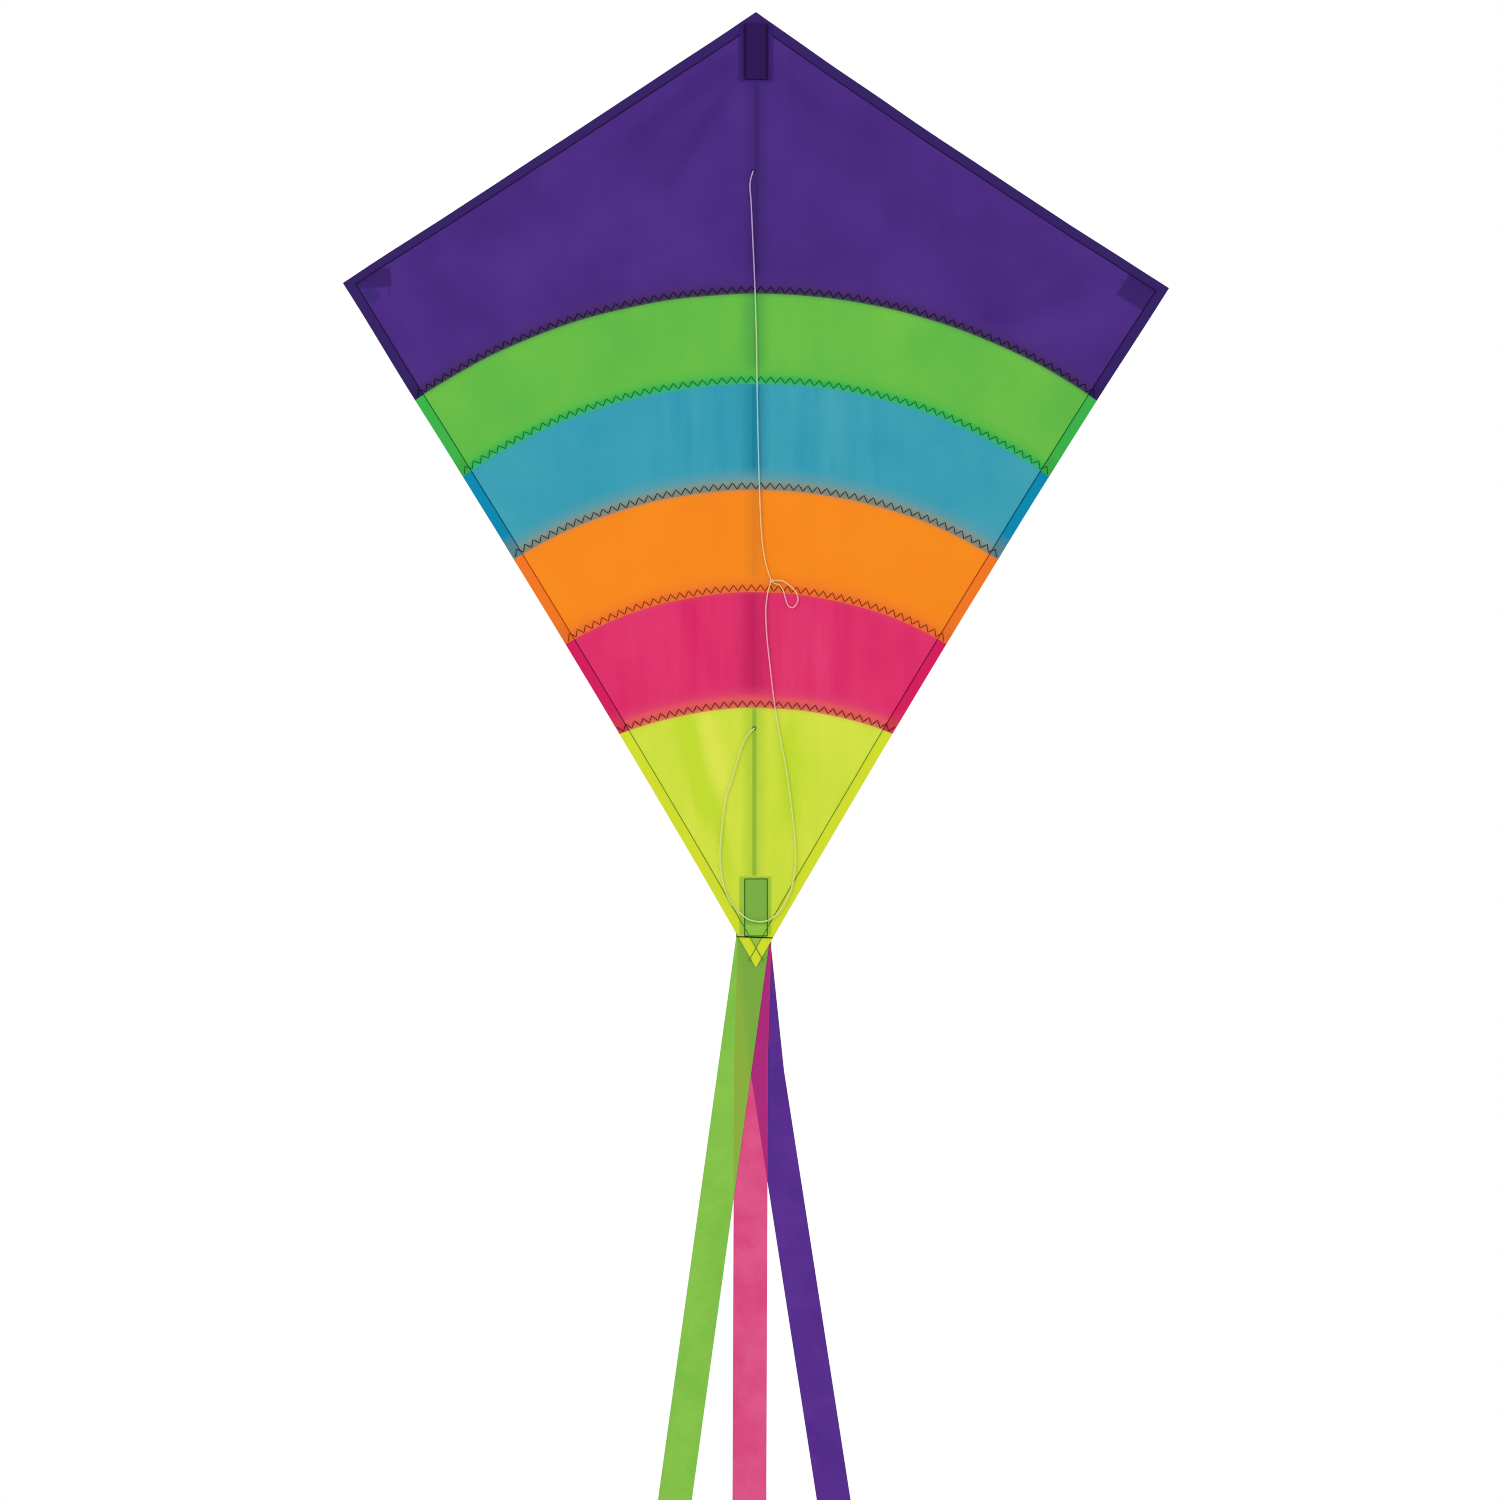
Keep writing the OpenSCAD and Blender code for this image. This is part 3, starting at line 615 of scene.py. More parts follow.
# Each panel's colour from dark to light, how much of it lies in streaks, and its painted shade over the hem
# and the spine; "behind" is where the spine's painted shadow lies, how far its soft edge reaches (mm) and
# how strong that is; "bands" are the painted shade and tint above the lower seam, where the allowance lies
# behind: distance (mm), tint, share; the tint for the allowance behind the panel above is also the painted
# shade just below that seam; each patch is painted shade where a pocket or ribbon lies behind the cloth:
# middle, half sizes (mm), turn (degrees)
looks = {
    "purple": {
        "streaks": 0.25, "behind": (0.6, 15, 0.5),
        "dark": "#44247A", "light": "#503089", "hem": "#362065", "hemBand": "#2C1A4E", "rod": "#3A226A",
        "bands": [(0, "#4A5E53", 1), (1.6, "#3B3D4A", 1), (3, "#3D2F5A", 1), (6, "#472A6C", 1),
                  (9, "#4A2B75", 0.9), (13, "#4B2B7C", 0.5), (22, "#4D2C80", 0)],
        "hole": (-2.5 * mm, 106.5 * mm), "holeTint": "#2A1848",
        "shadePatches": [
            {"at": (0, 216.5), "half": (16, 27.5), "soft": 1.5, "tint": "#301763", "share": 0.7},
            {"at": (0, 217), "half": (10.6, 25.8), "soft": 0.8, "tint": "#2B124F", "share": 0.85},
            {"at": (-10.5, 217), "half": (1.6, 24), "soft": 1.2, "tint": "#22093F", "share": 0.6},
            {"at": (10.5, 217), "half": (1.6, 24), "soft": 1.2, "tint": "#22093F", "share": 0.6},
            {"at": (352, -2.5), "half": (15, 12.5), "soft": 1.6, "turn": -33, "tint": "#361D62",
             "share": 0.8},
            {"at": (-352, 4.5), "half": (15.5, 8.5), "soft": 1.4, "turn": 6, "tint": "#361D62",
             "share": 0.8},
            {"at": (-355, -11), "half": (7, 6), "soft": 3, "turn": -40, "tint": "#33256B", "share": 0.6},
        ],
    },
    "green": {
        "streaks": 0.35, "behind": (-1.3, 18, 0.75),
        "dark": "#5CB745", "light": "#70C247", "hem": "#3CB34A", "hemBand": "#3CA03F", "rod": "#50A648",
        "bands": [(0, "#36B17F", 1), (1.2, "#39B37C", 1), (2.4, "#37B26C", 1), (5, "#37B253", 1),
                  (7, "#46B74C", 0.95), (10, "#58BB49", 0.8), (20, "#66BD47", 0)],
        "strip": "#435155",
    },
    "blue": {
        "streaks": 0.75, "behind": (-2.0, 17, 0.7),
        "dark": "#2997B2", "light": "#45A5B8", "hem": "#0489B1", "hemBand": "#6C7F78", "rod": "#18829C",
        "bands": [(0, "#9E8868", 1), (1.4, "#888679", 1), (4, "#818A7F", 1), (6, "#849389", 1),
                  (8, "#799895", 0.95), (11, "#649BA3", 0.85), (23, "#499CB2", 0)],
        "strip": "#30A78A",
    },
    "orange": {
        "streaks": 0.3, "behind": (-1.5, 13, 0.6),
        "dark": "#F7871A", "light": "#FB8E1A", "hem": "#F37822", "hemBand": "#E06A28", "rod": "#E58023",
        "bands": [(0, "#EA6838", 1), (1.4, "#EC6E37", 1), (4, "#EC7330", 1), (7, "#F27829", 1),
                  (10, "#F58023", 0.8), (20, "#F68620", 0)],
        "strip": "#938365",
    },
    "pink": {
        "streaks": 0.8, "behind": (-2.5, 22, 0.7),
        "dark": "#DB2463", "light": "#E63C75", "hem": "#D61D5E", "hemBand": "#CE4448", "rod": "#C21F5B",
        "bands": [(0, "#DA8F4C", 1), (1.4, "#DA774F", 1), (4, "#D95B58", 1), (6.5, "#E25A59", 1),
                  (9, "#E5585E", 0.95), (14, "#E04669", 0.5), (22, "#E03C6E", 0)],
        "strip": "#E35142",
    },
    "lime": {
        "streaks": 0.5, "behind": (-1.5, 15, 0.4),
        "dark": "#C4DE32", "light": "#DEE74E", "hem": "#D3E02D", "strip": "#D9A64B", "rod": "#90BA34",
        "creaseShade": 0.45,
        "hole": (-1.5 * mm, -407.5 * mm), "holeTint": "#5F7F2C",
        "shadePatches": [
            {"at": (-0.6, -571), "half": (14.8, 27), "soft": 1.2, "tint": "#92C23C", "share": 0.85},
            {"at": (0, -568), "half": (10.8, 21.5), "soft": 0.7, "tint": "#78B045", "share": 0.9},
            {"at": (0, -594.5), "half": (10.8, 6), "soft": 0.7, "tint": "#8FC845", "share": 0.9},
            {"at": (0, -620), "half": (14, 20), "soft": 0.5, "tint": "#8CC544", "share": 0.9,
             "insideHem": True},
        ],
    },
}
hemShares = (0.5, 1.0, 1.0, 1.0, 0.5, 0.0)  # out over the hem and back behind it
foldIn = 0.12 * mm  # the fold's outer corners lie in by this, which rounds it


# The curves that a panel's rows follow, from its lower seam to its upper one
def panelRows(index):
    rows = []
    if index < 5:
        rows += [lambda x, g=g: seamZ(index, x, g) for g in (0, sail["allowance"] / 2)]

        def bottom(x):
            return seamZ(index, x, sail["allowance"])
    else:
        def bottom(x):
            return -sail["tipDrop"]
    if index > 0:
        def top(x):
            return seamZ(index - 1, x)
    else:
        def top(x):
            return sail["noseZ"]
    count = round((top(0) - bottom(0)) / sail["gridStep"])
    shares = [k / count for k in range(count + 1)]
    if index == 0:  # a row has to pass through the wing tips
        wing = bottom(sail["halfWidth"])
        at = -wing / (sail["noseZ"] - wing)
        shares = [s for s in shares if abs(s - at) > 0.024]
        shares = sorted(shares + [at + k * 0.008 for k in (-2, -1, 0, 1, 2)])
    rows += [lambda x, s=s: (1 - s) * bottom(x) + s * top(x) for s in shares]
    return rows


def makePanel(index):
    name = panelNames[index]
    rows = panelRows(index)
    ends = [(rowEnd(curve, sail["hem"]), rowEnd(curve, 0.0)) for curve in rows]
    widest = max(end for _, end in ends)
    inner = max(10, round(widest / sail["gridStep"]))
    half = inner + len(hemShares)
    front, back = sail["frontY"], sail["frontY"] + 2 * sail["layerStep"]
    hemDepths = (front, front, (front + back) / 2, back, back, back)

    def place(i, j):
        step = abs(i - half)
        side = 1 if i >= half else -1
        hemX, endX = ends[j]
        y = front
        if step <= inner:
            x = hemX * step / inner
        else:
            step -= inner
            y = hemDepths[step - 1]
            x = hemX + (endX - hemX) * hemShares[step - 1]
            if step in (2, 4):
                x = max(hemX, x - foldIn)
        z = rows[j](x)
        return sailPoint(side * x, y, z), (side * x, z)

    bm = bmesh.new()
    gridInto(bm, half * 2, len(rows) - 1, place)
    if index > 0:  # the allowance that goes up behind the panel above
        grows = [-0.3 * mm, 3 * mm, 6.5 * mm, sail["allowance"]]
        curves = [lambda x, g=g: seamZ(index - 1, x, g) for g in grows]
        stripEnds = [rowEnd(curve, 0.8 * mm) for curve in curves]
        middle = front + sail["layerStep"]

        def placeStrip(i, j):
            x = stripEnds[j] * (i - inner) / inner
            z = curves[j](x)
            return sailPoint(x, middle, z), (x, z)

        gridInto(bm, inner * 2, len(grows) - 1, placeStrip)
    piece = pieceFrom(bm, "sail" + name.capitalize(), sailCloth(name, looks[name]))
    area = sum(face.area for face in piece.data.polygons)
    thicken(piece, sail["cloth"])
    mesh = piece.data
    spots = {}
    for loop, uv in zip(mesh.loops, mesh.uv_layers["cut"].data):
        spots[loop.vertex_index] = uv.uv
    for label, measure in (
        ("edgeGap", hemGap),
        ("lowerGap", lambda x, z: seamGap(min(index, 4), x, z) if index < 5 else 1.0),
        ("upperGap", lambda x, z: seamGap(index - 1, x, z) if index > 0 else -1.0),
        ("crease", creaseTone),
    ):
        layer = mesh.attributes.new(label, "FLOAT", "POINT")
        layer.data.foreach_set("value", [measure(*spots[v.index]) for v in mesh.vertices])
    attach(piece, "kite")
    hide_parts("sail_" + name)
    flat = (2 * (widest + sail["hem"]), rows[-1](0) - rows[0](widest) + 2 * sail["allowance"])
    return piece, flat, area


panels = []
for index in range(6):
    piece, flat, area = makePanel(index)
    panels.append(piece)
    print("panel", piece.name, [round(side, 3) for side in flat], round(area, 4))

# Thread


# Spun polyester sewing thread: dull, with the twist of its two plies as painted shade between them; a dark
# thread into which the tint of the cloth it lies on is painted, standing in for light from the cloth
def threadMaterial():
    material, tree = newMaterial("spunPolyesterThread")
    place = addNode(tree, "UVMap", uv_map="cut")
    parts = addNode(tree, "SeparateXYZ", {0: place})
    # a ply comes round every 0.9 mm
    around = addNode(tree, "Math", {0: parts.outputs["Y"], 1: 2 * math.pi / (1.2 * mm)},
                     operation="MULTIPLY")
    phase = addNode(tree, "Math", {0: parts.outputs["X"], 1: 2 * math.pi / (0.9 * mm), 2: around},
                    operation="MULTIPLY_ADD")
    ply = addNode(tree, "Math", {0: phase}, operation="SINE")
    # painted light from the cloth under the thread, darkened towards black between the plies as painted
    # shade
    tint = addNode(tree, "Attribute", attribute_name="tint")
    darker = addNode(tree, "Mix", {0: 0.45, 6: tint, 7: linear("#08070A")}, data_type="RGBA")
    raised = addNode(tree, "MapRange", {0: ply, 1: -0.9, 2: 0.1})
    colour = addNode(tree, "Mix", {0: raised, 6: darker, 7: tint}, data_type="RGBA")
    bump = addNode(tree, "Bump", {"Height": ply}, Strength=0.4, Distance=0.08 * mm)
    shader = addNode(tree, "BsdfPrincipled", {"Base Color": colour, "Normal": bump}, Roughness=0.7,
                     IOR=1.57, Specular_IOR_Level=0.05)
    return finishMaterial(material, shader)


threadSpun = threadMaterial()
# The thread is really 0.3 mm thick, drawn thicker so that it shows
thread = {"radius": 0.4 * mm, "hemRadius": 0.36 * mm, "pitch": 2.9 * mm, "proud": 0.16 * mm}
stitch = {"steps": (4.5, 4.5, 4.35, 4.15, 4.2), "height": 5.9 * mm, "middle": 4.0 * mm}
# dark tints of the cloth under each seam and each hem's panels, painted into the thread as light from the
# cloth
seamTints = ["#10051E", "#027622", "#1A201A", "#8A2402", "#5E080C"]
hemTints = ["#150832", "#07651E", "#00405A", "#A54006", "#78042A", "#5A962C"]


# A run of stitches: down into the cloth at each spot, proud of it between; out is -1 in front
def stitchPath(spots, y, out):
    path = []
    for k, (x, z) in enumerate(spots):
        path.append(sailPoint(x, y - out * 0.06 * mm, z))
        if k < len(spots) - 1:
            nextX, nextZ = spots[k + 1]
            for share in (0.25, 0.75):
                mx, mz = x + (nextX - x) * share, z + (nextZ - z) * share
                path.append(sailPoint(mx, y + out * thread["proud"], mz))
    return path


def zigzagSpots(seam):
    radius = seamRadius[seam] + stitch["middle"]
    turn = stitch["steps"][seam] * mm / radius
    spots = []
    for k in range(-90, 91):
        angle = k * turn
        reach = radius + (0.5 if k % 2 else -0.5) * stitch["height"]
        x, z = reach * math.sin(angle), seamTop[seam] - seamRadius[seam] + reach * math.cos(angle)
        if edgeGap(x, z) > 1.2 * mm:
            spots.append((x, z))
    return spots


def lineSpots(points, pitch):
    spots = []
    for (ax, az), (bx, bz) in zip(points, points[1:]):
        count = max(1, round(math.hypot(bx - ax, bz - az) / pitch))
        spots += [(ax + (bx - ax) * k / count, az + (bz - az) * k / count) for k in range(count)]
    spots.append(points[-1])
    return spots


frontFace = sail["frontY"] - sail["cloth"] / 2
backFace = sail["frontY"] + sail["layerStep"] + sail["cloth"] / 2  # back of the allowance
hemBack = sail["frontY"] + 2 * sail["layerStep"] + sail["cloth"] / 2


# The cloth's tint under a point of the hem thread, painted into the thread as light from the cloth
def hemTint(x, z):
    panel = sum(1 for seam in range(5) if seamGap(seam, x, z) < 0)
    return linear(hemTints[panel], gain)


# Thread in runs: each is a list of spots and the faces that it shows on, as depth and way out
def sew(name, node, runs, radius, tint=None):
    bm = bmesh.new()
    for spots, faces in runs:
        for y, out in faces:
            tubeInto(bm, stitchPath(spots, y, out), radius, 6)
    closeTube(bm)
    piece = pieceFrom(bm, name, threadSpun, 0)
    dye = piece.data.color_attributes.new("tint", "FLOAT_COLOR", "POINT")
    for vert, value in zip(piece.data.vertices, dye.data):
        value.color = linear(tint, gain) if tint else hemTint(vert.co.x, vert.co.z)
    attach(piece, "kite")
    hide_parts(node)
    return piece


for seam, name in enumerate(panelNames[:5]):
    sew("seamThread" + name.capitalize(), "seam_thread_" + name,
        [(zigzagSpots(seam), [(frontFace, -1), (backFace, 1)])], thread["radius"], seamTints[seam])


# A point on the right trailing edge, share of the way down, moved into the sail by inset
def insetPoint(share, inset):
    w, t = sail["halfWidth"], sail["tipDrop"]
    inwards = inset + 4 * sail["hollow"] * share * (1 - share)
    return (w * (1 - share) - inwards * t / trailLength, -t * share + inwards * w / trailLength)


# Where the lines of stitches meet at a wing tip
def wingPoint(side):
    w, n, t = sail["halfWidth"], sail["noseZ"], sail["tipDrop"]
    inset = leadInset(side * w)
    x = w - (inset * leadLength + hemInset * trailLength) / (n + t)
    return (x, (w * n - inset * leadLength - n * x) / w)


tipPoint = (0.0, -sail["tipDrop"] + hemInset * trailLength / sail["halfWidth"])
leadEnd = 14.5 * mm  # the hem's stitching stops at the nose pocket
leadStart = (leadEnd, sail["noseZ"] * (1 - leadEnd / sail["halfWidth"])
             - hemInset * leadLength / sail["halfWidth"])
trailLine = [insetPoint(k / 12, hemInset) for k in range(1, 12)]
# the lines run on past each other to the edge at the tail point
beyond = (trailLine[-1][0] - tipPoint[0], trailLine[-1][1] - tipPoint[1])
scale = 14 * mm / math.hypot(*beyond)
trailLine += [tipPoint, (tipPoint[0] - beyond[0] * scale, tipPoint[1] - beyond[1] * scale)]
for side, label in ((1, "Right"), (-1, "Left")):
    wingSpot = wingPoint(side)
    lead = [(side * x, z) for x, z in (leadStart, wingSpot)]
    # the left one is sewn over the right one where they cross
    lift = 0.22 * mm if side < 0 else 0.0
    trail = [(side * x, z) for x, z in [wingSpot] + trailLine]
    faces = [(frontFace, -1), (hemBack, 1)]
    crossFaces = [(frontFace - lift, -1), (hemBack + lift, 1)]
    spots = lineSpots(trail, thread["pitch"])
    cut = next(k for k, spot in enumerate(spots) if spot[1] < -sail["tipDrop"] * 0.9)
    leadSpots = lineSpots(lead, thread["pitch"])
    # behind, the wing and tail pockets lie over the ends of these lines
    leadBack = [spot for spot in leadSpots if abs(spot[0]) < 344 * mm]
    trailBack = [spot for spot in spots if spot[1] < -14 * mm and side * spot[0] > 16 * mm]
    sew("hemThreadUpper" + label, "hem_thread_upper_" + label.lower(),
        [(leadSpots, faces[:1]), (leadBack, faces[1:])], thread["hemRadius"])
    sew("hemThreadLower" + label, "hem_thread_lower_" + label.lower(),
        [(spots[: cut + 1], faces[:1]), (trailBack, faces[1:]), (spots[cut:], crossFaces[:1])],
        thread["hemRadius"])


def boxSpots(x0, x1, z0, z1, pitch):
    return lineSpots([(x0, z0), (x1, z0), (x1, z1), (x0, z1), (x0, z0)], pitch)


pocketBack = sail["frontY"] + 3 * sail["layerStep"] + sail["cloth"] / 2
overHem = [(frontFace - 0.1 * mm, -1), (pocketBack, 1)]
sew("nosePocketThread", "nose_pocket_thread",
    [(lineSpots([(x * mm, z * mm) for x, z in ((-10.2, 241), (-10.2, 191.3), (10.2, 191.3), (10.2, 241))],
                2.6 * mm), overHem)], thread["hemRadius"], "#180A34")
sew("tailPocketThread", "tail_pocket_thread",
    [(boxSpots(-10.4 * mm, 10.4 * mm, -599 * mm, -546.3 * mm, 2.6 * mm), overHem)],
    thread["hemRadius"], "#1E561E")
for side, label in ((1, "right"), (-1, "left")):
    down = [(side * 338.4 * mm, 9 * mm), (side * 338.4 * mm, -11 * mm)]
    sew("wingPocketThread" + label.capitalize(), "wing_pocket_thread_" + label,
        [(lineSpots(down, 2.6 * mm), overHem)], thread["hemRadius"] * 0.7, "#54348C")
tailLine = lineSpots([(-18 * mm, -599.6 * mm), (15.5 * mm, -600.9 * mm)], 2.4 * mm)
sew("tailThread", "tail_thread", [(tailLine, [(frontFace - 0.35 * mm, -1), (-5.6 * mm, 1)])],
    thread["hemRadius"] * 1.35, "#0A1A08")
print("thread sewn")

# Pockets on the back, each a flat patch raised over the end of a rod

rodY = (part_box("spine")[0].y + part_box("spine")[1].y) / 2
pocketRise = [(0, 6.45), (1.2, 6.35), (2.2, 5.85), (3.1, 4.7), (3.8, 3.2), (4.5, 1.8), (5.4, 0.7),
              (6.6, 0.12), (8.5, 0)]


# Nylon oxford, a heavier cloth than the sail's: deeper weave, darker painted shade between its yarns,
# blotchy dye
def pocketCloth(name, dark, light):
    material, tree = newMaterial(name)
    place = addNode(tree, "UVMap", uv_map="cut")
    # blotches some 11 mm across
    uneven = addNode(tree, "TexNoise", {"Vector": place}, Scale=90.0, Detail=4.0, Roughness=0.6)
    toneShare = addNode(tree, "MapRange", {0: uneven, 1: 0.35, 2: 0.65})
    colour = addNode(tree, "Mix", {0: toneShare, 6: linear(dark, gain), 7: linear(light, gain)},
                     data_type="RGBA")
    return finishCloth(material, place, colour, 0.4, 0.25)


def rise(off):
    off = abs(off) / mm
    for (a, high), (b, low) in zip(pocketRise, pocketRise[1:]):
        if off <= b:
            return (high + (low - high) * smooth((off - a) / (b - a))) * mm
    return 0.0


# A pocket from its mouth at along[0] to its closed end at along[1], turned about the Y axis
def makePocket(name, node, material, across, along, closeAt, turn, shape=None):
    base = sail["frontY"] + 3 * sail["layerStep"]
    offs = [across[0], across[0] * 0.72, -8.5, -6.6, -5.4, -4.5, -3.8, -3.1, -2.2, -1.2, 0,
            1.2, 2.2, 3.1, 3.8, 4.5, 5.4, 6.6, 8.5, across[1] * 0.72, across[1]]
    # the mouth has a narrow hem, folded inwards
    steps = [0.0, 0.6, 4.0, 4.6] + [6.0 + k * 4.0 for k in range(40)]
    length = along[1] - along[0]
    way = 1 if length > 0 else -1
    steps = [v for v in steps if v < abs(closeAt - along[0]) - 1.5]
    steps += [abs(closeAt - along[0]) + k for k in (0, 1.2, 2.4, 3.6, 4.8)]
    steps = [v for v in steps if v < abs(length) - 0.8] + [abs(length)]

    def place(i, j):
        v = along[0] + way * steps[j]
        share = 1 - smooth((steps[j] - abs(closeAt - along[0])) / 5.0)
        u = offs[i]
        if shape:
            low, high = shape(v)
            u = min(max(u, low), high)
        hemmed = 0.16 if steps[j] < 4.3 else 0.0
        y = base + rise(u * mm) * share + hemmed * mm
        flat = (u * mm, v * mm)
        point = Vector((u * mm, 0, v * mm))
        point.rotate(turn)
        return Vector((point.x, y + sailDepth(point.x, point.z) * 0.5, point.z)), flat

    bm = bmesh.new()
    gridInto(bm, len(offs) - 1, len(steps) - 1, place)
    piece = pieceFrom(bm, name, material)
    thicken(piece, sail["cloth"])
    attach(piece, "kite")
    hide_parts(node)
    return piece


noTurn = Matrix.Identity(3)
oxfordPurple = pocketCloth("nylonOxfordPurple", "#27124A", "#331B5E")
oxfordGreen = pocketCloth("nylonOxfordGreen", "#62A83A", "#72B944")
oxfordBlack = pocketCloth("nylonOxfordBlack", "#17131E", "#241E2E")


# The room between the sail's edges at v, which narrows towards a corner; all in millimetres
def noseRoom(v):
    half = min(15.0, (251.5 - v) * 1.5)
    return (-half, half)


# On the wings u runs down and v outwards once the pocket is turned
def rightRoom(v):
    above, below = (377 - v) * 0.7 - 1.5, (377 - v) * 1.4 - 3.0
    return (-min(13.0, max(0.0, above)), min(13.5, max(0.0, below)))


def leftRoom(v):
    low, high = rightRoom(v)
    return (-high, -low)


makePocket("nosePocket", "nose_pocket", oxfordPurple, (-15, 15), (189, 243),
           237.2, noTurn, noseRoom)
makePocket("tailPocket", "tail_pocket", oxfordGreen, (-14, 14), (-544.5, -597),
           -593.5, noTurn)
makePocket("wingPocketRight", "wing_pocket_right", oxfordBlack, (-13, 13.5),
           (336, 372.5), 370.6, Matrix.Rotation(math.pi / 2, 3, "Y"), rightRoom)
makePocket("wingPocketLeft", "wing_pocket_left", oxfordBlack, (-13.5, 13),
           (336, 372.5), 370.6, Matrix.Rotation(-math.pi / 2, 3, "Y"), leftRoom)
print("pockets made")

# Rods, caps and the fitting where they cross: radii, and ends along the rod from the crossing, in mm
rodSize = {"spine": 2.25, "spineTop": 235, "spineLow": 592, "spar": 2.0, "sparIn": 4.2, "sparOut": 369}
capSize = {"length": 14, "radius": 2.84, "play": 0.02}


# Spins a line of (radius, height) points, in mm, about the Z axis and moves the shape by matrix
def turned(bm, profile, sides, matrix):
    flat = bm.loops.layers.uv.get("cut") or bm.loops.layers.uv.new("cut")
    before = set(bm.faces)
    line = [bm.verts.new((radius * mm, 0, height * mm)) for radius, height in profile]
    edges = [bm.edges.new(pair) for pair in zip(line, line[1:])]
    bmesh.ops.spin(bm, geom=line + edges, cent=(0, 0, 0), axis=(0, 0, 1), dvec=(0, 0, 0),
                   angle=2 * math.pi, steps=sides, use_merge=True, use_duplicate=False)
    made = [face for face in bm.faces if face not in before]
    for face in made:
        face.smooth = True
        middle = face.calc_center_median()
        turn = math.atan2(middle.y, middle.x)
        for loop in face.loops:  # along the rod and round it, on the same side of the join as the face
            off = loop.vert.co
            angle = math.atan2(off.y, off.x) if off.xy.length > 0.01 * mm else turn
            angle -= 2 * math.pi * round((angle - turn) / (2 * math.pi))
            loop[flat].uv = (off.z, angle * 3 * mm)
    corners = list({vert for face in made for vert in face.verts})
    bmesh.ops.transform(bm, matrix=matrix, verts=corners)
    bmesh.ops.remove_doubles(bm, verts=bm.verts, dist=0.002 * mm)
    bmesh.ops.dissolve_degenerate(bm, edges=bm.edges, dist=0.002 * mm)
    bmesh.ops.recalc_face_normals(bm, faces=bm.faces)


# Pultruded fibreglass, dyed black: fibres show along the rod under a thin gloss of resin
def rodMaterial():
    material, tree = newMaterial("fibreglassBlack")
    place = addNode(tree, "UVMap", uv_map="cut")
    # fibres in bundles 0.4 mm across, drawn out along the rod
    drawn = addNode(tree, "Mapping", {"Vector": place}, Scale=(40, 2500, 1))
    grain = addNode(tree, "TexNoise", {"Vector": drawn}, Scale=1.0, Detail=3.0)
    fibre = addNode(tree, "MapRange", {0: grain, 1: 0.3, 2: 0.7})
    colour = addNode(tree, "Mix", {0: fibre, 6: linear("#15161A"), 7: linear("#2B2C31")},
                     data_type="RGBA")
    rough = addNode(tree, "MapRange", {0: grain, 3: 0.3, 4: 0.48})
    bump = addNode(tree, "Bump", {"Height": grain}, Strength=0.12, Distance=0.1 * mm)
    shader = addNode(tree, "BsdfPrincipled", {"Base Color": colour, "Roughness": rough, "Normal": bump},
                     IOR=1.55)
    return finishMaterial(material, shader)


# Moulded plastic: a fine sparked grain that breaks up the gloss, a little paler where it is handled
def mouldedMaterial(name, dark, light, roughness, grainSize):
    material, tree = newMaterial(name)
    place = addNode(tree, "TexCoord").outputs["Object"]
    spark = addNode(tree, "TexNoise", {"Vector": place}, Scale=1 / grainSize, Detail=2.0, Roughness=0.7)
    # handling wears it in spots some 8 mm across
    worn = addNode(tree, "TexNoise", {"Vector": place}, Scale=120.0, Detail=3.0)
    handled = addNode(tree, "MapRange", {0: worn, 1: 0.4, 2: 0.7})
    colour = addNode(tree, "Mix", {0: handled, 6: linear(dark), 7: linear(light)}, data_type="RGBA")
    bump = addNode(tree, "Bump", {"Height": spark}, Strength=0.25, Distance=0.06 * mm)
    shader = addNode(tree, "BsdfPrincipled", {"Base Color": colour, "Normal": bump},
                     Roughness=roughness, IOR=1.5)
    return finishMaterial(material, shader)


fibreglass = rodMaterial()
# dipped vinyl is soft and dull; the fitting's nylon is harder, with a finer grain and a little more gloss
capVinyl = mouldedMaterial("vinylSoftBlack", "#1A1A1D", "#26262A", 0.55, 0.5 * mm)
fittingNylon = mouldedMaterial("nylonMouldedBlack", "#1C1D20", "#2B2C30", 0.48, 0.35 * mm)


def solid(name, node, material, bm):
    piece = pieceFrom(bm, name, material, 0)
    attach(piece, "kite")
    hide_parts(node)
    return piece


outRight = Matrix.Rotation(math.pi / 2, 4, "Y")
outLeft = Matrix.Rotation(-math.pi / 2, 4, "Y")
onRod = Matrix.Translation((0, rodY, 0))


# A rod's outline, with rings along it and ends bevelled down to the radius endFace
def rodProfile(radius, endFace, bevel, low, high, rings):
    return ([(0, low), (endFace, low), (radius, low + bevel)] + [(radius, z) for z in rings]
            + [(radius, high - bevel), (endFace, high), (0, high)])


bm = bmesh.new()
turned(bm, rodProfile(rodSize["spine"], 1.9, 0.4, -rodSize["spineLow"], rodSize["spineTop"],
                      [-580, -420, -260, -110, 40, 150, 225]), 28, onRod)
solid("spineRod", "spine", fibreglass, bm)
for label, matrix in (("right", outRight), ("left", outLeft)):
    bm = bmesh.new()
    turned(bm, rodProfile(rodSize["spar"], 1.7, 0.3, rodSize["sparIn"], rodSize["sparOut"],
                          [60, 150, 240, 330]), 28, onRod @ matrix)
    solid("sparRod" + label.capitalize(), "spar_" + label, fibreglass, bm)

bead = [(math.cos(a * math.pi / 10), math.sin(a * math.pi / 10)) for a in range(6)]


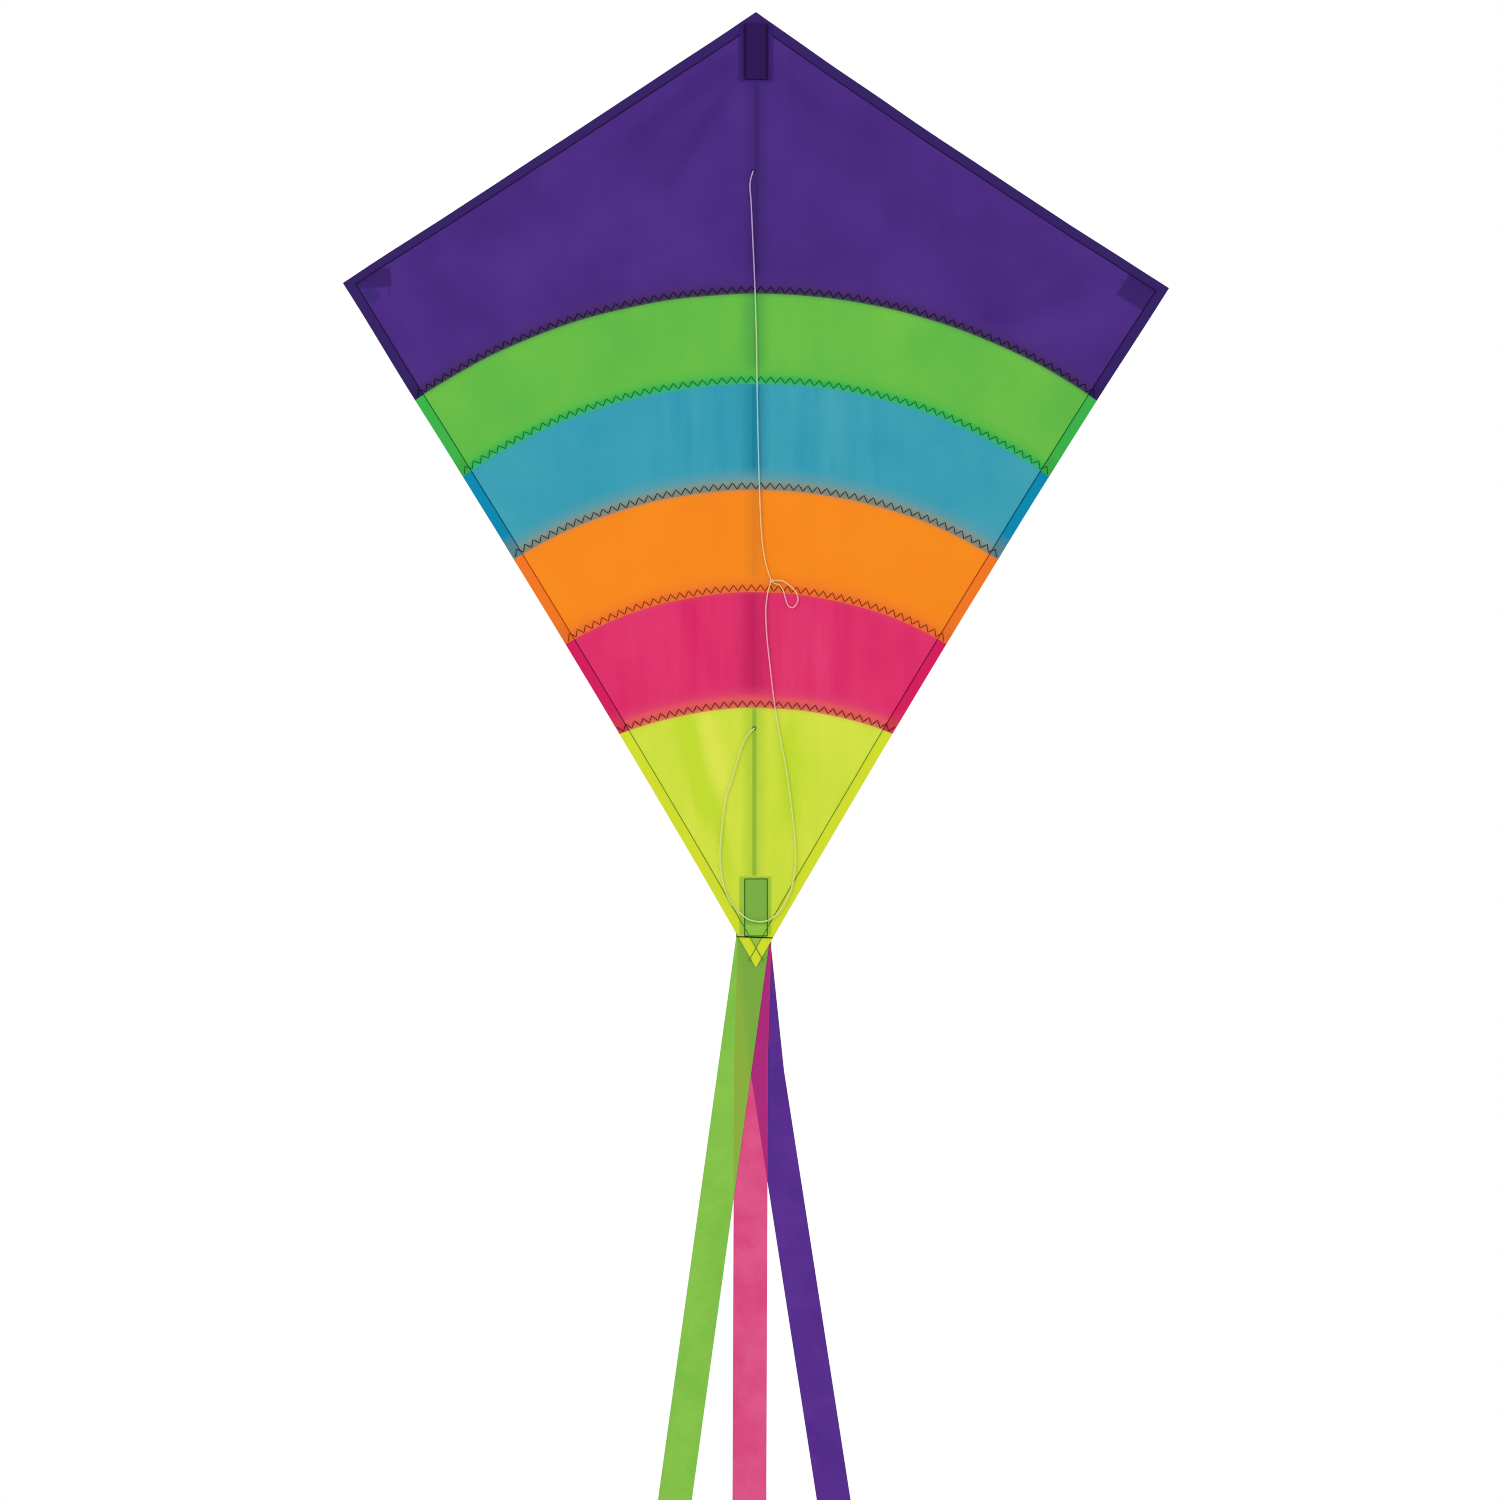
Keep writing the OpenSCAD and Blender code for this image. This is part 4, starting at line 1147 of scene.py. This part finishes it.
# A dipped cap: rolled lip at its mouth, a slight taper and a domed end
def capProfile(inside, mouth, rodEnd):
    outside = capSize["radius"]
    lip = [(inside, mouth + 0.9), (inside, mouth + 0.35), (inside + 0.25, mouth), (outside - 0.09, mouth),
           (outside + 0.16, mouth + 0.35), (outside + 0.16, mouth + 1.3), (outside + 0.02, mouth + 1.7),
           (outside, rodEnd - 3.2)]
    dome = [(outside * c, rodEnd - 1.0 + 2.4 * s) for c, s in bead]
    inner = [(0, rodEnd + 1.4), (0, rodEnd + 0.05), (inside, rodEnd + 0.05), (inside, mouth + 0.9)]
    return lip + [(outside, rodEnd - 1.6)] + dome + inner


flipDown = Matrix.Rotation(math.pi, 4, "X")
for name, node, rod, rodEnd, matrix in (
    ("spineCapTop", "spine_cap_top", "spine", "spineTop", Matrix.Identity(4)),
    ("spineCapLow", "spine_cap_low", "spine", "spineLow", flipDown),
    ("sparCapRight", "spar_cap_right", "spar", "sparOut", outRight),
    ("sparCapLeft", "spar_cap_left", "spar", "sparOut", outLeft),
):
    bm = bmesh.new()
    inside, end = rodSize[rod] + capSize["play"], rodSize[rodEnd]
    turned(bm, capProfile(inside, end - capSize["length"], end), 32, onRod @ matrix)
    solid(name, node, capVinyl, bm)


# A moulded tube with a bead at each end; blind from the middle if septum is given
def sleeve(bm, length, bore, septum, matrix):
    end = length / 2
    outside = [(3.45, end - 0.2), (3.6, end - 0.5), (3.6, end - 2.2), (3.35, end - 2.8)]
    if septum:
        profile = [(0, septum), (bore, septum), (bore, end - 0.5), (bore + 0.3, end), (3.25, end)]
        profile += outside + [(3.35, 2.4), (0, 2.4)]
        turned(bm, profile, 36, matrix)
        return
    ring = [(bore, 0), (bore, end - 0.5), (bore + 0.3, end), (3.25, end)] + outside
    profile = ring + [(3.35, 0)] + [(r, -z) for r, z in reversed(ring)]
    turned(bm, profile, 36, matrix)


bm = bmesh.new()
sleeve(bm, 40, rodSize["spine"] + capSize["play"], None, onRod)
for matrix in (outRight, outLeft):
    sleeve(bm, 56, rodSize["spar"] + capSize["play"], rodSize["sparIn"], onRod @ matrix)
# back plate with rounded corners and a raised rim: corner centres and directions, then radius and depth
plate = []
for cx, cz, start in ((8, 11, 0), (-8, 11, 1), (-8, -11, 2), (8, -11, 3)):
    for k in range(7):
        angle = (start + k / 6) * math.pi / 2
        plate.append((cx, cz, math.cos(angle), math.sin(angle)))
levels = [(3.2, -1.6), (4.0, -1.6), (4.0, -0.5), (3.6, -0.1), (2.6, -0.1), (2.2, -0.55), (0.0, -0.6)]


def placePlate(i, j):
    cx, cz, c, s = plate[i % len(plate)]
    radius, y = levels[j]
    point = Vector((cx + radius * c, y, cz + radius * s)) * mm
    return point, (point.x, point.z)


gridInto(bm, len(plate), len(levels) - 1, placePlate)
bmesh.ops.remove_doubles(bm, verts=bm.verts, dist=0.002 * mm)
bmesh.ops.holes_fill(bm, edges=[e for e in bm.edges if e.is_boundary], sides=0)
bmesh.ops.recalc_face_normals(bm, faces=bm.faces)
solid("crossFitting", "cross_fitting", fittingNylon, bm)


# Turns of the cord round the spine, crossed at the front, with one end out through the sail
def anchorPath(hole):
    x, z = hole[0] * mm, hole[1] * mm
    reach = 3.1 * mm  # from the spine's middle to the cord's
    path = [Vector((reach * 1.9, rodY + 2.2 * mm, z - 7.5 * mm)),  # the cut end
            Vector((reach * 1.5, rodY + 1.6 * mm, z - 4.0 * mm))]
    for k in range(41):
        angle = math.pi / 2 + 2 * math.pi * k / 20
        spot = Vector((math.cos(angle), math.sin(angle), 0)) * reach
        path.append(Vector((0, rodY, z - 1.7 * mm + 3.4 * mm * k / 40)) + spot)
    path += [Vector((reach * 1.02, rodY, z + 1.2 * mm)),
             Vector((x + 1.4 * mm, rodY - 3.0 * mm, z + 0.3 * mm)),
             Vector((x, sail["frontY"] + 0.6 * mm, z)),
             Vector((x, bridle["y"] + 1.2 * mm, z - 0.4 * mm))]
    return path


for label, hole in (("Upper", bridle["upperHole"]), ("Lower", bridle["lowerHole"])):
    bm = bmesh.new()
    tubeInto(bm, smoothRoute(anchorPath(hole), 2), bridle["diameter"] / 2, 10)
    closeTube(bm)
    tintCord(solid("bridleAnchor" + label, "bridle_anchor_" + label.lower(), cordWhite, bm))
print("rods and fittings made")

# Tail ribbons

ribbons = {
    # lines: each middle line as its lean and a point on it; the one further right counts
    "green": {"y": -7.05, "lines": [(0.139, -2.6, -0.6)], "dark": "#7FC047", "light": "#8BC84C",
              "edge": "#79B946", "behind": [("pink", 0.4, "#8CB13F", 1.0), ("purple", 5, "#79AC42", 0.9)]},
    "pink": {"y": -6.55, "lines": [(0.03, -1.2, -0.6), (0.0037, -4.6, -0.724)], "dark": "#DC4981",
             "light": "#E25A8B", "edge": "#D2407A", "behind": [("purple", 0.4, "#AF2A7C", 1.0)]},
    "purple": {"y": -6.05, "lines": [(-0.1044, -2.6, -0.6), (-0.155, 12.1, -0.735)], "dark": "#542A8B",
               "light": "#5C3193", "edge": "#4A2480", "behind": []},
}
ribbonWidth = 31.2 * mm
ribbonTop, ribbonJoin, ribbonEnd = -596.8 * mm, -740 * mm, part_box("green_tail")[0].z + 2 * mm


def ribbonMiddle(name, z):
    return max(lean * (z - fromZ) + x * mm for lean, x, fromZ in ribbons[name]["lines"])


# Depth of a ribbon off flat: together at the top, each its own further down
def ribbonWave(name, across, z):
    order = ["green", "pink", "purple"].index(name)
    down = -z - 0.64
    together = smooth(down / 0.1) * 0.5 * mm * math.sin(down * 19.0)
    free = smooth((-z - 0.80) / 0.35)
    own = 3.2 * mm * math.sin(down * (8.5 + order) + 1.7 * order) + 1.2 * mm * math.sin(
        down * 23.0 + 2.6 * order)
    twist = across * 0.16 * math.sin(down * (5.0 + 0.8 * order) + 0.9 * order)
    cup = (across / (15 * mm)) ** 2 * 0.35 * mm * math.sin(down * 11.0 + order)
    return together + free * (own + twist + cup)


# How far a point lies from a ribbon's middle line
def offMiddle(tree, across, up, name):
    lines = [addNode(tree, "Math", {0: up, 1: lean, 2: x * mm - lean * fromZ}, operation="MULTIPLY_ADD")
             for lean, x, fromZ in ribbons[name]["lines"]]
    middle = addNode(tree, "Math", {0: lines[0], 1: lines[-1]}, operation="MAXIMUM")
    off = addNode(tree, "Math", {0: across, 1: middle}, operation="SUBTRACT")
    return addNode(tree, "Math", {0: off}, operation="ABSOLUTE")


# Nylon ribbon cut with a hot knife: a fine weave and a sealed, darker edge. Where other ribbons lie behind
# it, their painted shade and tint show in its colour. Each row of "behind" is a ribbon, its edge's softness
# in mm, a tint and how much of it.
def ribbonCloth(name, look):
    material, tree = newMaterial("nylonRibbon" + name.capitalize())
    place = addNode(tree, "UVMap", uv_map="cut")
    parts = addNode(tree, "SeparateXYZ", {0: place})
    across, up = parts.outputs["X"], parts.outputs["Y"]
    # the dye lies in clouds some 45 mm across
    uneven = addNode(tree, "TexNoise", {"Vector": place}, Scale=22.0, Detail=4.0, Roughness=0.65)
    toneShare = addNode(tree, "MapRange", {0: uneven, 1: 0.38, 2: 0.62})
    colour = addNode(tree, "Mix", {0: toneShare, 6: linear(look["dark"], gain), 7: linear(look["light"], gain)},
                     data_type="RGBA")
    covered = 1.0
    # painted shade and tint where the ribbons behind hold back light
    for other, soft, tint, amount in look["behind"]:
        off = offMiddle(tree, across, up, other)
        under = addNode(tree, "MapRange", {0: off, 1: ribbonWidth / 2 + soft * mm,
                                           2: ribbonWidth / 2 - soft * mm, 4: amount},
                        interpolation_type="SMOOTHSTEP")
        covered = addNode(tree, "Math", {0: under, 1: covered}, operation="MULTIPLY")
        colour = addNode(tree, "Mix", {0: covered, 6: colour, 7: linear(tint, gain)}, data_type="RGBA")
    own = offMiddle(tree, across, up, name)
    sealed = addNode(tree, "MapRange", {0: own, 1: 14.8 * mm, 2: 15.4 * mm, 4: 0.5})
    colour = addNode(tree, "Mix", {0: sealed, 6: colour, 7: linear(look["edge"], gain)}, data_type="RGBA")
    return finishCloth(material, place, colour, 0.3, 0.08)


def makeRibbon(name, part, top, end):
    look = ribbons[name]
    rows = round((top - end) / (4 * mm))
    columns = 8

    def place(i, j):
        z = top + (end - top) * j / rows
        off = (i / columns - 0.5) * ribbonWidth
        x = ribbonMiddle(name, z) + off
        return Vector((x, look["y"] * mm + ribbonWave(name, off, z), z)), (x, z)

    bm = bmesh.new()
    gridInto(bm, columns, rows, place, flip=True)
    piece = pieceFrom(bm, name + "Ribbon" + part, ribbonClothes[name])
    thicken(piece, 0.24 * mm)
    return piece


ribbonClothes = {name: ribbonCloth(name, look) for name, look in ribbons.items()}
for name in ribbons:
    upper = makeRibbon(name, "Upper", ribbonTop, ribbonJoin)
    lower = makeRibbon(name, "Lower", ribbonJoin, ribbonEnd)
    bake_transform(upper)
    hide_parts(name + "_tail_upper")
    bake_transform(lower)
    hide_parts(name + "_tail")
print("ribbons made")

# Studio

world = bpy.data.worlds.new("studio")
bpy.context.scene.world = world
world.use_nodes = True
world.node_tree.nodes["Background"].inputs["Color"].default_value = (1, 1, 1, 1)
world.node_tree.nodes["Background"].inputs["Strength"].default_value = 1.0


def areaLight(name, at, aim, size, power):
    data = bpy.data.lights.new(name, "AREA")
    data.size = size
    data.energy = power
    lamp = bpy.data.objects.new(name, data)
    lamp.location = at
    lamp.rotation_euler = (Vector(aim) - Vector(at)).to_track_quat("-Z", "Y").to_euler()
    bpy.context.scene.collection.objects.link(lamp)


# name, place, aim, size and power
areaLight("key", (-2.2, -3.2, 2.0), (0, 0, -0.3), 1.2, 42)
areaLight("fromBehind", (2.0, 3.0, 1.6), (0, 0, -0.3), 1.4, 30)

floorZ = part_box("pink_tail")[0].z - 40 * mm
floorRadius = 2.4
bm = bmesh.new()
bmesh.ops.create_circle(bm, cap_ends=True, segments=96, radius=floorRadius,
                        matrix=Matrix.Translation((0, 0, floorZ)))
# Painted plywood: matt, in two whites that lie in soft clouds some 0.1 m across
floorMaterial, tree = newMaterial("paintedPlywoodPale")
place = addNode(tree, "TexCoord").outputs["Object"]
level = addNode(tree, "Mapping", {"Vector": place}, Location=(0.5, 0.5, 0.5),
                Scale=(0.5 / floorRadius, 0.5 / floorRadius, 0))
clouds = addNode(tree, "TexNoise", {"Vector": level}, Scale=40.0, Detail=3.0)
paint = addNode(tree, "Mix", {0: clouds, 6: linear("#E6E6E4"), 7: linear("#EFEFED")}, data_type="RGBA")
shader = addNode(tree, "BsdfPrincipled", {"Base Color": paint}, Roughness=0.7)
floor = pieceFrom(bm, "floor", finishMaterial(floorMaterial, shader))

scene = bpy.context.scene
scene.view_settings.view_transform = "Standard"
scene.view_settings.look = "None"
scene.view_settings.exposure = 0.0
scene.view_settings.gamma = 1.0
scene.cycles.filter_width = 1.0
